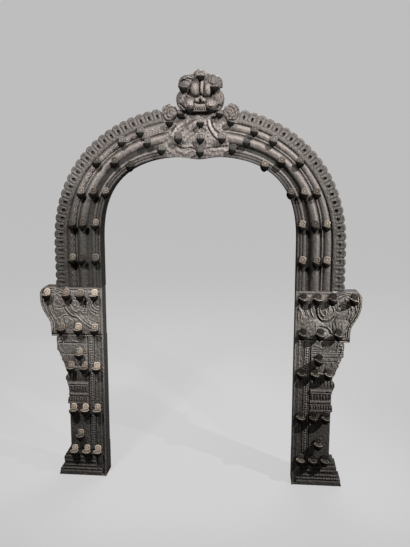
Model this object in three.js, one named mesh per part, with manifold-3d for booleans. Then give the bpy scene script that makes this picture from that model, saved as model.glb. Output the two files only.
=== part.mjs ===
// Deity aureole: a cast bronze arch on two pillars, with a lion mask at the crown and rows of lamp cups.
// Millimetres, +Z up, the front faces -Y. The origin is the middle of the box at floor height.
import * as THREE from "three";
import { mergeVertices } from "three/addons/utils/BufferGeometryUtils.js";
import Module from "manifold-3d";

const wasm = await Module();
wasm.setup();

// Heights.
const jointHeight = 490; // top of the pillars, where the arch stands
const archCentreHeight = 590; // the arch's legs are straight up to here
const crownHeight = 806; // inner edge of the arch at its crown
const ledgeHeight = 372; // top of the ledge under the makara capitals
const ledgeThickness = 6;
const baseHeight = 78;
const neckHeight = ledgeHeight - 182; // foot of the mouldings at a shaft's neck

// Widths. A pillar's own widths start at the opening's edge.
const openingHalfWidth = 235;
const bandWidth = 83; // of the arch, from the opening out to the raised fillet
const borderWidth = 33; // of the lobed border outside the fillet
const shaftWidth = 91;
const stripWidth = 41; // border strip, inner panel and bead row beside the opening
const innerSquareness = 2.75; // exponent of the opening's curve: 2 is an ellipse, more is squarer
const outerSquareness = 2.2; // the same for the curve of the fillet
const cuspDrop = 7; // the little cusp at the middle of the opening
const cuspHalfWidth = 34;

// Depths, measured back from the face plane.
const castingDepth = 38;
const footDepth = 42;
const capitalDepth = 34;
const bracketDepth = 26;
const plateThickness = 8;
const rimThickness = 5;
const borderThickness = 8;

// Lamp cups.
const cupRadius = 11;
const cupHeight = 15;
const cupWall = 2.5;
const dishDepth = 3.5;
const cupStandOff = 6; // from the face plane to the back of the bowl
const shankSize = 5;
const shankDrop = 3; // from the cup's rim down to its shank
const riveterThickness = 2; // the riveting strip behind the plate
const riveterWidth = 4;
const lugRadius = 6.8; // the round lug that stands up behind the bowl
const lugThickness = 3;
const lugRise = 5; // from the cup's rim up to the lug's middle
const lugInset = 0.4; // of the lug's back from the back of the bowl

// The joint between arch and pillars.
const tongueWidth = 46;
const tongueThickness = 6;
const tongueReach = 60; // down into the capital
const tongueRoot = 58; // up into the arch
const tonguePadHeight = 43; // where the tongue thickens to meet the arch's plate
const tongueStandOff = 2; // behind the riveting strips
const socketHeight = 24;
const socketDrop = 30; // from the joint down to the top of the socket
const socketWall = 3;
const slidingClearance = 0.5;

// Mask and volutes.
const jawHeight = crownHeight + 111; // underside of the upper jaw
const maskHeight = 83;
const headHalfWidth = 54;
const headShift = 8; // the mask and the lamps round it sit a little right of the opening's middle
const voluteRadius = 19;
const voluteSpread = 72; // from the mask's middle
const voluteHeight = crownHeight + 99;
const voluteClearance = 0.6; // between a volute and the lobed border

const gap = 0.3; // between pieces that touch
const lobePitch = 20;
const lobeDepth = 9;
const archSteps = 14; // stations in each quarter of the arch
const cupSides = 8;

// The box is centred front to back: the cups reach forward from its middle as far as the feet reach back.
const cupReach = cupStandOff + 2 * cupRadius;
const faceY = (cupReach - footDepth) / 2;
const plateBackY = faceY + plateThickness;
const pillarOuter = openingHalfWidth + shaftWidth;

// Radians from the crown to the end of a side's lobed border, which stops just short of its volute.
function crestAngle(side) {
  const across = voluteSpread + side * headShift;
  const rise = voluteHeight - archCentreHeight;
  return Math.atan2(across, rise) + Math.asin((voluteRadius + voluteClearance) / Math.hypot(across, rise));
}

const bronze = { color: 0x5b524c, roughness: 0.5, metalness: 0.75 };
const darkBronze = { color: 0x474340, roughness: 0.55, metalness: 0.7 };
const greenBronze = { color: 0x4a4f49, roughness: 0.6, metalness: 0.65 };
const wornBronze = { color: 0x8a7358, roughness: 0.42, metalness: 0.8 };

const group = new THREE.Group();

// Turns a closed geometry into a solid that can be joined and cut.
function solidOf(geometry) {
  const bare = geometry.clone();
  bare.deleteAttribute("normal");
  bare.deleteAttribute("uv");
  const merged = mergeVertices(bare, 1e-4);
  return new wasm.Manifold(
    new wasm.Mesh({
      numProp: 3,
      vertProperties: new Float32Array(merged.attributes.position.array),
      triVerts: new Uint32Array(merged.index.array),
    }),
  );
}

function place(name, solid, look) {
  const mesh = solid.getMesh();
  const positions = new Float32Array(mesh.numVert * 3);
  for (let i = 0; i < mesh.numVert; i += 1) {
    const start = i * mesh.numProp;
    positions.set(mesh.vertProperties.subarray(start, start + 3), i * 3);
  }
  const geometry = new THREE.BufferGeometry();
  geometry.setAttribute("position", new THREE.BufferAttribute(positions, 3));
  geometry.setIndex(new THREE.BufferAttribute(new Uint32Array(mesh.triVerts), 1));
  const made = new THREE.Mesh(geometry, new THREE.MeshStandardMaterial(look));
  made.name = name;
  group.add(made);
}

const joined = (solids) => solids.reduce((sum, solid) => sum.add(solid));
const cutBy = (solid, cutters) => cutters.reduce((rest, cutter) => rest.subtract(cutter), solid);
const mirrored = (points, side) => points.map(([x, z]) => [side * x, z]);

function box([x0, x1], [y0, y1], [z0, z1]) {
  const geometry = new THREE.BoxGeometry(Math.abs(x1 - x0), y1 - y0, z1 - z0);
  return solidOf(geometry.translate((x0 + x1) / 2, (y0 + y1) / 2, (z0 + z1) / 2));
}

// An outline in x and height, drawn out from depth y0 back to y1.
function plate(points, y0, y1) {
  const shape = new THREE.Shape(points.map(([x, z]) => new THREE.Vector2(x, z)));
  const geometry = new THREE.ExtrudeGeometry(shape, { depth: y1 - y0, bevelEnabled: false });
  return solidOf(geometry.rotateX(Math.PI / 2).translate(0, y1, 0));
}

// An outline in x and depth, drawn up from height z0 to z1.
function column(points, z0, z1) {
  const shape = new THREE.Shape(points.map(([x, y]) => new THREE.Vector2(x, y)));
  const geometry = new THREE.ExtrudeGeometry(shape, { depth: z1 - z0, bevelEnabled: false });
  return solidOf(geometry.translate(0, 0, z0));
}

// A ball stretched to three radii, with its poles front and back.
function egg([x, y, z], [rx, ry, rz], sides) {
  const geometry = new THREE.SphereGeometry(1, sides, Math.round(sides / 2));
  return solidOf(geometry.scale(rx, ry, rz).translate(x, y, z));
}

// A turned form whose axis runs front to back: its profile gives radius and height above the plane y.
function boss([x, z], y, profile, sides) {
  const points = profile.map(([r, h]) => new THREE.Vector2(r, h));
  const geometry = new THREE.LatheGeometry(points, sides).rotateX(Math.PI);
  return solidOf(geometry.translate(x, y, z));
}

// A skin over rings of points, closed at its first and last ring.
function loft(rings) {
  const size = rings[0].length;
  const index = [];
  for (let i = 0; i + 1 < rings.length; i += 1) {
    for (let j = 0; j < size; j += 1) {
      const k = (j + 1) % size;
      index.push(i * size + j, i * size + k, (i + 1) * size + k);
      index.push(i * size + j, (i + 1) * size + k, (i + 1) * size + j);
    }
  }
  closeEnd(rings, 0, index, false);
  closeEnd(rings, rings.length - 1, index, true);
  const geometry = new THREE.BufferGeometry();
  geometry.setAttribute("position", new THREE.Float32BufferAttribute(rings.flat(2), 3));
  geometry.setIndex(index);
  const solid = solidOf(geometry);
  if (solid.volume() > 0) return solid;
  geometry.setIndex(index.toReversed());
  return solidOf(geometry);
}

// Adds the triangles that close one ring. They run with the ring's points or against them.
function closeEnd(rings, row, index, withRing) {
  const ring = rings[row];
  const spread = (axis) => Math.max(...ring.map((p) => p[axis])) - Math.min(...ring.map((p) => p[axis]));
  const across = spread(0) > spread(2) ? 0 : 2;
  const flat = ring.map((point) => new THREE.Vector2(point[across], point[1]));
  const forward = THREE.ShapeUtils.area(flat) > 0 === withRing;
  const first = row * ring.length;
  for (const [a, b, c] of THREE.ShapeUtils.triangulateShape(flat, [])) {
    index.push(first + a, first + (forward ? b : c), first + (forward ? c : b));
  }
}

// The arch is a family of curves. A point lies s outside the opening's edge: on the ray at an angle
// from the arch's centre, or on a straight leg at a height below it.
function bandPoint(s, station) {
  const halfWidth = openingHalfWidth + s;
  if (station.height !== undefined) return [station.side * halfWidth, station.height];
  const rise = crownHeight - archCentreHeight + s;
  const share = Math.min(s / bandWidth, 1);
  const squareness = innerSquareness + (outerSquareness - innerSquareness) * share;
  const across = Math.abs(Math.cos(station.angle)) / halfWidth;
  const up = Math.sin(station.angle) / rise;
  const reach = (across ** squareness + up ** squareness) ** (-1 / squareness);
  const x = reach * Math.cos(station.angle);
  const cusp = cuspDrop * Math.exp(-((x / cuspHalfWidth) ** 2)) * Math.max(0, 1 - 4 * share);
  return [x, archCentreHeight + reach * Math.sin(station.angle) - cusp];
}

// A profile of [s, depth] points carried along stations of the arch.
function bandSweep(profileAt, stations) {
  return loft(
    stations.map((station, i) =>
      profileAt(i).map(([s, depth]) => {
        const [x, z] = bandPoint(s, station);
        return [x, faceY + depth, z];
      }),
    ),
  );
}

// One half of the arch as a fine run of stations, from its joint to an angle, with the length run at each.
function measuredCurve(side, s, endAngle) {
  const stations = [];
  const legSteps = 60;
  const bendSteps = 240;
  for (let i = 0; i <= legSteps; i += 1) {
    const share = i / legSteps;
    stations.push({ side, height: jointHeight + gap + (archCentreHeight - jointHeight - gap) * share });
  }
  for (let i = 1; i <= bendSteps; i += 1) {
    const angle = (endAngle * i) / bendSteps;
    stations.push({ side, angle: side > 0 ? angle : Math.PI - angle });
  }
  const lengths = [0];
  for (let i = 1; i < stations.length; i += 1) {
    const [x0, z0] = bandPoint(s, stations[i - 1]);
    const [x1, z1] = bandPoint(s, stations[i]);
    lengths.push(lengths[i - 1] + Math.hypot(x1 - x0, z1 - z0));
  }
  return { stations, lengths };
}

// Picks stations at even steps of length.
function evenStations({ stations, lengths }, count) {
  const picked = [];
  for (let k = 0; k <= count; k += 1) {
    const wanted = (lengths.at(-1) * k) / count;
    picked.push(stations[lengths.findIndex((length) => length >= wanted - 1e-6)]);
  }
  return picked;
}

// Lamp cups on the arch's legs, as [distance outside the opening, height above the joint].
const legRows = { spring: [[11, 71], [44, 71], [68, 71]] };
// Lamp cups on its curve, as [distance outside the opening, degrees above the arch's centre].
const curveRows = {
  shoulder: [[11, 12.7], [41.5, 11.4], [69, 10.4]],
  haunch: [[4.8, 31], [33.8, 27.8], [63.8, 25.2]],
  turn: [[70.5, 40.4], [36.5, 46], [5.2, 51]],
  brow: [[70.5, 54.8], [73.5, 64], [42, 65], [18.8, 70.4]],
};
// Lamp cups round the mask, as [distance from its middle, height above the opening's crown].
const jawRow = [[70, 77], [45, 95], [24, 106]];
const crownRow = [[-50, 39], [1, 39], [50, 39]];
const crownColumn = [[1, 75], [1, 39], [0, 9]];
// Lamp cups on a pillar: the height of their rims, and their distances from the opening.
const pillarRows = {
  capital: { owner: "capital", height: jointHeight - 16, across: [16, 51, 86, 135] },
  ledge: { owner: "capital", height: ledgeHeight + 16, across: [18, 59, 102] },
  bracket: { owner: "shaft", height: ledgeHeight - 47, across: [58] },
  neck: { owner: "shaft", height: ledgeHeight - 82, across: [16, 48, 81] },
  shaft: { owner: "shaft", height: neckHeight - 10, across: [17, 48, 78] },
  middle: { owner: "shaft", height: 112, across: [62] },
  base: { owner: "base", height: baseHeight - 8, across: [19, 48, 79] },
};

const onLeg = ([s, rise]) => [openingHalfWidth + s, jointHeight + rise];
const onCurve = ([s, degrees]) => bandPoint(s, { angle: (Math.PI * degrees) / 180 });
const aroundMask = (cups, side) => cups.map(([x, rise]) => [headShift + side * x, crownHeight + rise]);

// A bowl, pointed below and dished on top, in front of the face plane.
function bowl([x, z]) {
  const profile = [
    [0, -cupHeight],
    [cupRadius * 0.78, -cupHeight / 2],
    [cupRadius, 0],
    [cupRadius - cupWall, 0],
    [0, -dishDepth],
  ].map(([r, h]) => new THREE.Vector2(r, h));
  const turned = new THREE.LatheGeometry(profile, cupSides).rotateX(Math.PI / 2);
  return solidOf(turned.translate(x, faceY - cupStandOff - cupRadius, z));
}

// The upright lug behind a bowl.
function lug([x, z]) {
  const disc = new THREE.CylinderGeometry(lugRadius, lugRadius, lugThickness, cupSides);
  return solidOf(disc.translate(x, faceY - cupStandOff - lugInset - lugThickness / 2, z + lugRise));
}

const shankMiddle = (z) => z - shankDrop - shankSize / 2;

// The square shank from inside the bowl through the plate, grown on all sides for its hole.
function shank([x, z], grow) {
  const half = shankSize / 2 + grow;
  const front = faceY - cupStandOff - cupRadius / 2;
  const back = plateBackY + gap + riveterThickness + grow;
  return box([x - half, x + half], [front, back], [shankMiddle(z) - half, shankMiddle(z) + half]);
}

// The riveting strips behind the plate, from each shank to the next. Their holes grow less in depth, which
// keeps them clear of the plate's back face.
function riveter(cups, grow) {
  return cups.slice(1).map(([x1, z1], i) => {
    const [x0, z0] = cups[i];
    const length = Math.hypot(x1 - x0, z1 - z0) + 2 * grow;
    const bar = new THREE.BoxGeometry(length, riveterThickness + 1.6 * grow, riveterWidth + 2 * grow);
    bar.rotateY(-Math.atan2(z1 - z0, x1 - x0));
    const middleY = plateBackY + gap + riveterThickness / 2;
    return solidOf(bar.translate((x0 + x1) / 2, middleY, (shankMiddle(z0) + shankMiddle(z1)) / 2));
  });
}

const shanks = (cups, grow) => cups.map((cup) => shank(cup, grow));
const bowlRow = (cups) => joined([...cups.map(bowl), ...shanks(cups, 0), ...riveter(cups, 0)]);
const rowSolid = (cups) => joined([bowlRow(cups), ...cups.map(lug)]);
const rowHoles = (cups) => [...shanks(cups, gap), ...riveter(cups, gap)];

// The arch: a stepped relief with a rim at both edges, hollow behind.
function archCasting() {
  const front = [
    [0, -3], [4, -3], [5, -1.5], [19, -1.5], [22, 3], [30, 3], [33, -2], [38, -5.5], [46, -5.5],
    [52, -2], [54.5, 1], [57, -1], [75, -1], [77, 1.5], [79, -3], [bandWidth, -3],
  ];
  const inner = bandWidth - rimThickness;
  const back = [
    [bandWidth, castingDepth], [inner, castingDepth], [inner, plateThickness],
    [rimThickness, plateThickness], [rimThickness, castingDepth], [0, castingDepth],
  ];
  const stations = [{ side: 1, height: jointHeight }];
  for (let i = 0; i <= 2 * archSteps; i += 1) {
    stations.push({ angle: (Math.PI * i) / (2 * archSteps) });
  }
  stations.push({ side: -1, height: jointHeight });
  return bandSweep(() => [...front, ...back], stations).add(crestGround());
}

// The plain ground between the two lobed borders, behind the mask and its volutes.
function crestGround() {
  const steps = 8;
  const width = crestAngle(1) + crestAngle(-1);
  const stations = [];
  for (let i = 0; i <= steps; i += 1) {
    stations.push({ angle: Math.PI / 2 - crestAngle(1) + (width * i) / steps });
  }
  const inner = bandWidth - 1;
  const outer = bandWidth + borderWidth - lobeDepth;
  return bandSweep(() => [[inner, 0], [outer, 0], [outer, plateThickness], [inner, plateThickness]], stations);
}

// A lobed border: scallops of even pitch from the joint up to the crest.
function lobedBorder(side) {
  const endAngle = Math.PI / 2 - crestAngle(side) - (2 * gap) / (crownHeight - archCentreHeight);
  const curve = measuredCurve(side, bandWidth + borderWidth / 2, endAngle);
  const lobes = Math.round(curve.lengths.at(-1) / lobePitch);
  const stations = evenStations(curve, 3 * lobes);
  const outer = bandWidth + borderWidth;
  const shoulders = [outer - lobeDepth, outer - 1, outer - 1];
  const profileAt = (i) => [
    [bandWidth + gap, -1], [shoulders[i % 3], -1], [shoulders[i % 3], borderThickness], [bandWidth + gap, borderThickness],
  ];
  return bandSweep(profileAt, stations);
}

// The lion mask: cheeks and upper jaw, muzzle, bulging eyes, ears and a knob, with three cups cast on.
function lionMask() {
  // A place or size as shares of the mask's half width and height.
  const out = (share) => headShift + headHalfWidth * share;
  const up = (share) => jawHeight + maskHeight * share;
  const half = [
    [0, 0], [0.7, 0], [0.93, 0.07], [1, 0.2], [0.98, 0.35], [0.85, 0.47], [0.93, 0.57], [0.91, 0.76], [0.8, 0.84],
    [0.36, 0.86], [0.27, 0.93], [0.15, 0.985], [0, 1],
  ];
  const outline = [...half, ...mirrored(half.slice(1, -1).toReversed(), -1)].map(([x, z]) => [out(x), up(z)]);
  // Each lump: middle across and up, half sizes across and up, how far it stands out, number of sides.
  const lumps = [
    [0, 0.22, 0.96, 0.26, 14, 16], [0, 0.45, 0.63, 0.33, 13, 12], // jaw and brow
    [-0.78, 0.16, 0.24, 0.23, 16, 8], [0.78, 0.17, 0.24, 0.24, 16, 8], // cheeks
    [-0.42, 0.1, 0.26, 0.14, 21, 8], [0.48, 0.1, 0.26, 0.14, 21, 8], // muzzle
    [0.01, 0.17, 0.22, 0.13, 24, 8], [0.04, 0.9, 0.29, 0.095, 14, 10], // nose and knob
    [-0.21, 0.445, 0.2, 0.18, 22, 10], [0.32, 0.44, 0.19, 0.18, 22, 10], // eyes
    [-0.61, 0.63, 0.3, 0.16, 14, 8], [0.66, 0.65, 0.3, 0.17, 14, 8], // ears
  ].map(([x, z, rx, rz, rise, sides]) =>
    egg([out(x), faceY - 1, up(z)], [headHalfWidth * rx, rise - 1, maskHeight * rz], sides),
  );
  const teethHeights = [up(-0.09), up(0.08)];
  lumps.push(plate(outline, faceY - 9, faceY - gap));
  lumps.push(box([out(-0.2), out(0.2)], [faceY - 15, faceY - gap], teethHeights));
  const cups = [[out(0.04), up(0.81)], [out(0.61), up(0.52)], [out(-0.68), up(0.51)]];
  const castOn = joined([...cups.map(bowl), ...shanks(cups, 0)]);
  const front = box([out(-2), out(2)], [faceY - 60, faceY - gap], [up(-0.25), up(1.1)]);
  return joined(lumps).add(castOn).intersect(front);
}

// A rolled leaf beside the mask.
function voluteLeaf(side) {
  const profile = [[0, 0], [voluteRadius, 0], [voluteRadius, 5], [14, 9], [10, 4], [6, 8], [0, 8]];
  return boss([headShift + side * voluteSpread, voluteHeight], faceY - gap, profile, 12);
}

// The tongue under one leg of the arch: a plate with a pad that meets the arch from behind.
const tongueMiddle = openingHalfWidth + bandWidth / 2;
const tongueFrontY = plateBackY + gap + riveterThickness + tongueStandOff;
const tongueBackY = tongueFrontY + tongueThickness;

function tongue(side) {
  const middle = side * tongueMiddle;
  const width = [middle - tongueWidth / 2, middle + tongueWidth / 2];
  const top = jointHeight + tongueRoot;
  const blade = box(width, [tongueFrontY, tongueBackY], [jointHeight - tongueReach, top]);
  return blade.add(box(width, [plateBackY + gap, tongueBackY], [top - tonguePadHeight, top]));
}

// The sleeve behind a capital that the tongue drops into.
function socket(side) {
  const middle = side * tongueMiddle;
  const inside = tongueWidth / 2 + slidingClearance;
  const outside = inside + socketWall;
  const top = jointHeight - socketDrop;
  const heights = [top - socketHeight, top];
  const backY = tongueBackY + slidingClearance + socketWall;
  const block = box([middle - outside, middle + outside], [plateBackY + gap, backY], heights);
  const way = box(
    [middle - inside, middle + inside],
    [tongueFrontY - slidingClearance, tongueBackY + slidingClearance],
    [heights[0] - 1, heights[1] + 1],
  );
  return block.subtract(way);
}

// The makara capital: a beast's scroll that leans outwards, on its ledge, hollow behind.
function capital(side) {
  const top = jointHeight - gap;
  const foot = ledgeHeight - 1;
  // A place as a distance outside the opening and a share of the way down from the joint.
  const at = ([u, share]) => [openingHalfWidth + u, top + (foot - top) * share];
  const outline = [
    [0, 0], [87, 0], [96, 0.07], [104, 0.08], [112, 0.02], [123, 0], [146, 0.01], [156, 0.1], [156, 0.28],
    [153, 0.42], [146, 0.55], [136, 0.68], [131, 0.79], [131, 1], [0, 1],
  ];
  const body = plate(mirrored(outline.map(at), side), faceY, faceY + capitalDepth);
  const ledge = box(
    [side * openingHalfWidth, side * (openingHalfWidth + 136)],
    [faceY - 5, faceY + capitalDepth],
    [ledgeHeight - ledgeThickness, ledgeHeight],
  );
  // Roundel, eye and two leaves: middle, radius and how far each stands out.
  const bosses = [
    [[73, 0.44], 20, 7], [[106, 0.4], 17, 6], [[40, 0.72], 19, 6], [[101, 0.75], 20, 6],
  ].map(([middle, radius, rise]) => {
    const profile = [[0, 0], [radius, 0], [radius * 0.85, rise * 0.6], [radius * 0.5, rise], [0, rise]];
    return boss(mirrored([at(middle)], side)[0], faceY + 0.4, profile, 12);
  });
  const middle = [67, 0.5];
  const cavity = outline.map(([u, share]) => at([middle[0] + (u - middle[0]) * 0.91, middle[1] + (share - middle[1]) * 0.88]));
  const slot = box(
    [side * (openingHalfWidth + rimThickness), side * (openingHalfWidth + bandWidth - rimThickness)],
    [plateBackY, faceY + capitalDepth + 1],
    [at(middle)[1], jointHeight],
  );
  const hollow = plate(mirrored(cavity, side), plateBackY, faceY + capitalDepth + 1);
  return cutBy(joined([body, ledge, ...bosses]), [hollow, slot]);
}

// Rings of a moulding that stands out by p at each height: outwards, and less to the front.
function mouldedBlock(side, innerX, backY, steps, frontShare) {
  return loft(
    steps.map(([z, p]) => {
      const frontY = faceY - 1.5 - p * frontShare;
      const outerX = side * (pillarOuter + p);
      return [[side * innerX, frontY, z], [outerX, frontY, z], [outerX, backY, z], [side * innerX, backY, z]];
    }),
  );
}

// The shaft: a channel with a bead strip beside the opening, mouldings at its neck and a scroll bracket.
function shaft(side) {
  const top = ledgeHeight - ledgeThickness - gap;
  const bottom = baseHeight + gap;
  const plan = [
    [0, -2], [7, -2], [8.5, 0], [10, -1], [27, -1], [28.5, 1], [30, -2.5], [39, -2.5], [40, 1], [stripWidth, -1.5],
    [shaftWidth, -1.5], [shaftWidth, castingDepth], [0, castingDepth],
  ].map(([u, depth]) => [side * (openingHalfWidth + u), faceY + depth]);
  const neck = [
    [0, -2], [6, 4], [15, 3], [22, 0.8], [47, 0.8], [54, 1.2], [58, 5], [64, 8], [73, 7], [83, 2], [94, -2],
  ].map(([rise, p]) => [neckHeight + rise, p]);
  const bracket = [
    [-4, 1], [28, 1], [28, 36], [21, 46], [16, 60], [8, 79], [-4, 87],
  ].map(([out, drop]) => [pillarOuter + out, top - drop]);
  const parts = [
    column(plan, bottom, top),
    mouldedBlock(side, openingHalfWidth + stripWidth + 1, faceY + castingDepth - 1, neck, 1),
    plate(mirrored(bracket, side), faceY - 1, faceY + bracketDepth),
  ];
  const hollow = box(
    [side * (openingHalfWidth + rimThickness), side * (pillarOuter - rimThickness)],
    [plateBackY, faceY + castingDepth + 1],
    [bottom - 1, top + 1],
  );
  return joined(parts).subtract(hollow);
}

// The base: stepped mouldings on a plinth, hollow behind over a closed sole.
function base(side) {
  const steps = [
    [0, 31], [0.04, 31], [0.2, 29], [0.205, 24], [0.37, 17], [0.46, 9], [0.475, 19], [0.54, 19], [0.64, 18],
    [0.74, 10], [0.87, 3], [1, 1],
  ].map(([share, p]) => [baseHeight * share, p]);
  const block = mouldedBlock(side, openingHalfWidth, faceY + footDepth, steps, 0.4);
  const hollow = box(
    [side * (openingHalfWidth + rimThickness), side * (pillarOuter - rimThickness)],
    [plateBackY, faceY + footDepth + 1],
    [plateThickness, baseHeight + 1],
  );
  return block.subtract(hollow);
}

const sides = { left: -1, right: 1 };
const bothSides = Object.entries(sides);

function placeArch() {
  const rows = [aroundMask(crownRow, 1), aroundMask(crownColumn, 1)];
  for (const [sideName, side] of bothSides) {
    const sideRows = { jaw: aroundMask(jawRow, side) };
    for (const [rowName, cups] of Object.entries(legRows)) sideRows[rowName] = mirrored(cups.map(onLeg), side);
    for (const [rowName, cups] of Object.entries(curveRows)) sideRows[rowName] = mirrored(cups.map(onCurve), side);
    for (const [rowName, row] of Object.entries(sideRows)) {
      rows.push(row);
      // The jaw's cups have no lugs, because the mask stands close above them.
      place(`lamp_row_${rowName}_${sideName}`, rowName === "jaw" ? bowlRow(row) : rowSolid(row), wornBronze);
    }
    place(`lobed_border_${sideName}`, lobedBorder(side), bronze);
    place(`volute_leaf_${sideName}`, cutBy(voluteLeaf(side), rows.flatMap(rowHoles)), bronze);
    place(`tongue_${sideName}`, tongue(side), darkBronze);
  }
  place("lamp_row_crown", rowSolid(rows[0]).add(rowSolid(rows[1])), wornBronze);
  place("arch_casting", cutBy(archCasting(), rows.flatMap(rowHoles)), bronze);
  place("lion_mask", lionMask(), bronze);
}

function placePillar(sideName, side) {
  const holes = { capital: [], base: [], shaft: [] };
  for (const [rowName, { owner, height, across }] of Object.entries(pillarRows)) {
    const row = across.map((u) => [side * (openingHalfWidth + u), height]);
    holes[owner].push(...rowHoles(row));
    place(`lamp_row_${rowName}_${sideName}`, rowSolid(row), wornBronze);
  }
  place(`makara_capital_${sideName}`, cutBy(capital(side), holes.capital), greenBronze);
  place(`pillar_shaft_${sideName}`, cutBy(shaft(side), holes.shaft), bronze);
  place(`pillar_base_${sideName}`, cutBy(base(side), holes.base), bronze);
  place(`socket_${sideName}`, socket(side), darkBronze);
}

placeArch();
for (const [sideName, side] of bothSides) placePillar(sideName, side);

export default group;
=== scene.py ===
import math

import bmesh
import bpy
import numpy as np
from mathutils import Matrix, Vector


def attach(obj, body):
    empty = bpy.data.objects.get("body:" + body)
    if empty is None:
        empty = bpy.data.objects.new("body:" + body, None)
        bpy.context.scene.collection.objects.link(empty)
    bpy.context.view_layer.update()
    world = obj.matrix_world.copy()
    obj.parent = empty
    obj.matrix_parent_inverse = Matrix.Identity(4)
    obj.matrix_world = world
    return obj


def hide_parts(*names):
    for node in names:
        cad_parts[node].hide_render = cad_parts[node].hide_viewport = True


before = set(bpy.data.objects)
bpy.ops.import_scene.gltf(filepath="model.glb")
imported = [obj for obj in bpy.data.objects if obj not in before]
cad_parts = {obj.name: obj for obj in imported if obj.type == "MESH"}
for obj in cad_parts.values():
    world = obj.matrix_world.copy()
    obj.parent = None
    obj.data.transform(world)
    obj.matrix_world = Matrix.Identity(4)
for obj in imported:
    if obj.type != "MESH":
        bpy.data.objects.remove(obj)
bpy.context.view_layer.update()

# Measures are in millimetres until a mesh is made. x runs to the viewer's right, z up, y to the back.
sides = {"left": -1, "right": 1}
faceY = -7.0  # face plane
plateY = 1.0  # back of the plates
jointZ = 490.0  # the arch stands on its pillars here
ledgeZ = 372.0  # top of the ledge below a capital's carving
capitalZ = 366.0  # underside of a capital
baseTop = 78.0
innerX = 235.0  # half the opening
outerX = 326.0  # outer edge of a shaft
seam = 0.3  # what a casting stays short of its neighbour
wall = 5.0  # thickness of the rims behind the plates
rimDepths = {"arch": 38.0, "capital": 34.0, "shaft": 38.0, "bracket": 26.0, "base": 42.0}  # behind the face
plainWear = 0.3  # wear where there is no relief
rng = np.random.default_rng(11)


# meshes


def gridFaces(rows, cols, closed=False):
    # quads between neighbouring rows and columns; closed joins the last column to the first
    row = np.arange(rows - 1)[:, None]
    col = np.arange(cols if closed else cols - 1)[None, :]
    after = (col + 1) % cols
    quads = np.stack(
        [row * cols + col, row * cols + after, (row + 1) * cols + after, (row + 1) * cols + col],
        axis=-1,
    )
    return quads.reshape(-1, 4)


def joinParts(parts):
    # parts are (points, faces, wear), with faces a list of index lists
    points, faces, wear, start = [], [], [], 0
    for partPoints, partFaces, partWear in parts:
        points.append(partPoints)
        wear.append(np.broadcast_to(partWear, len(partPoints)))
        faces += [[index + start for index in face] for face in partFaces]
        start += len(partPoints)
    return np.concatenate(points), faces, np.concatenate(wear)


def blurred(field, reach):
    # mean over a square of the grid, by sums along each axis in turn
    for axis in (0, 1):
        padded = np.pad(field, [(reach, reach) if a == axis else (0, 0) for a in (0, 1)], mode="edge")
        total = np.cumsum(padded, axis=axis)
        total = np.insert(total, 0, 0, axis=axis)
        width = 2 * reach + 1
        upper = np.take(total, np.arange(width, total.shape[axis]), axis=axis)
        lower = np.take(total, np.arange(0, total.shape[axis] - width), axis=axis)
        field = (upper - lower) / width
    return field


def wearAndShadeOf(height, reach, gain):
    # crests stand above their surroundings and are rubbed bright; hollows lie below and stay dark, partly
    # with patina and partly as painted shade
    rise = height - blurred(height, reach)
    # the broad term lays painted shade into wide coves and grooves
    broadRise = height - blurred(height, 4 * reach)
    return np.clip(0.5 + gain * (rise + 0.32 * broadRise), 0, 1)


def reliefPart(x, z, height, backY, reach, gain):
    # a plate over a grid of x and z, its front at height above the face plane, its back flat
    rows, cols = x.shape
    front = np.stack([x, faceY - height, z], axis=-1).reshape(-1, 3)
    ids = np.arange(rows * cols).reshape(rows, cols)
    ring = np.concatenate([ids[0, :-1], ids[:-1, -1], ids[-1, :0:-1], ids[:0:-1, 0]])
    back = front[ring].copy()
    back[:, 1] = backY
    total = len(front)
    turn = np.roll(np.arange(len(ring)), -1)
    walls = np.stack([ring, ring[turn], total + turn, total + np.arange(len(ring))], axis=-1)
    faces = gridFaces(rows, cols).tolist() + walls.tolist()
    faces.append((total + np.arange(len(ring)))[::-1].tolist())
    wear = np.concatenate([wearAndShadeOf(height, reach, gain).ravel(), np.full(len(ring), plainWear)])
    return np.concatenate([front, back]), faces, wear


def loopPart(rings, wear):
    # a skin over rings of points, each closed on itself; the first and last ring become caps
    rows, cols, _ = rings.shape
    faces = gridFaces(rows, cols, closed=True).tolist()
    faces.append(list(range(cols))[::-1])
    faces.append([(rows - 1) * cols + i for i in range(cols)])
    return rings.reshape(-1, 3), faces, wear


def boxPart(low, high, wear=plainWear):
    x0, y0, z0 = low
    x1, y1, z1 = high
    corners = [[x0, y0], [x1, y0], [x1, y1], [x0, y1]]
    rings = np.array([[[x, y, z] for x, y in corners] for z in (z0, z1)], dtype=float)
    return loopPart(rings, np.full(8, wear))


def sideBox(side, near, far, low, high, depth):
    # a block behind the plate of one side, between two distances from the axis and two heights
    x0, x1 = sorted([side * near, side * far])
    return boxPart((x0, plateY - 1, low), (x1, faceY + depth, high))


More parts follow.
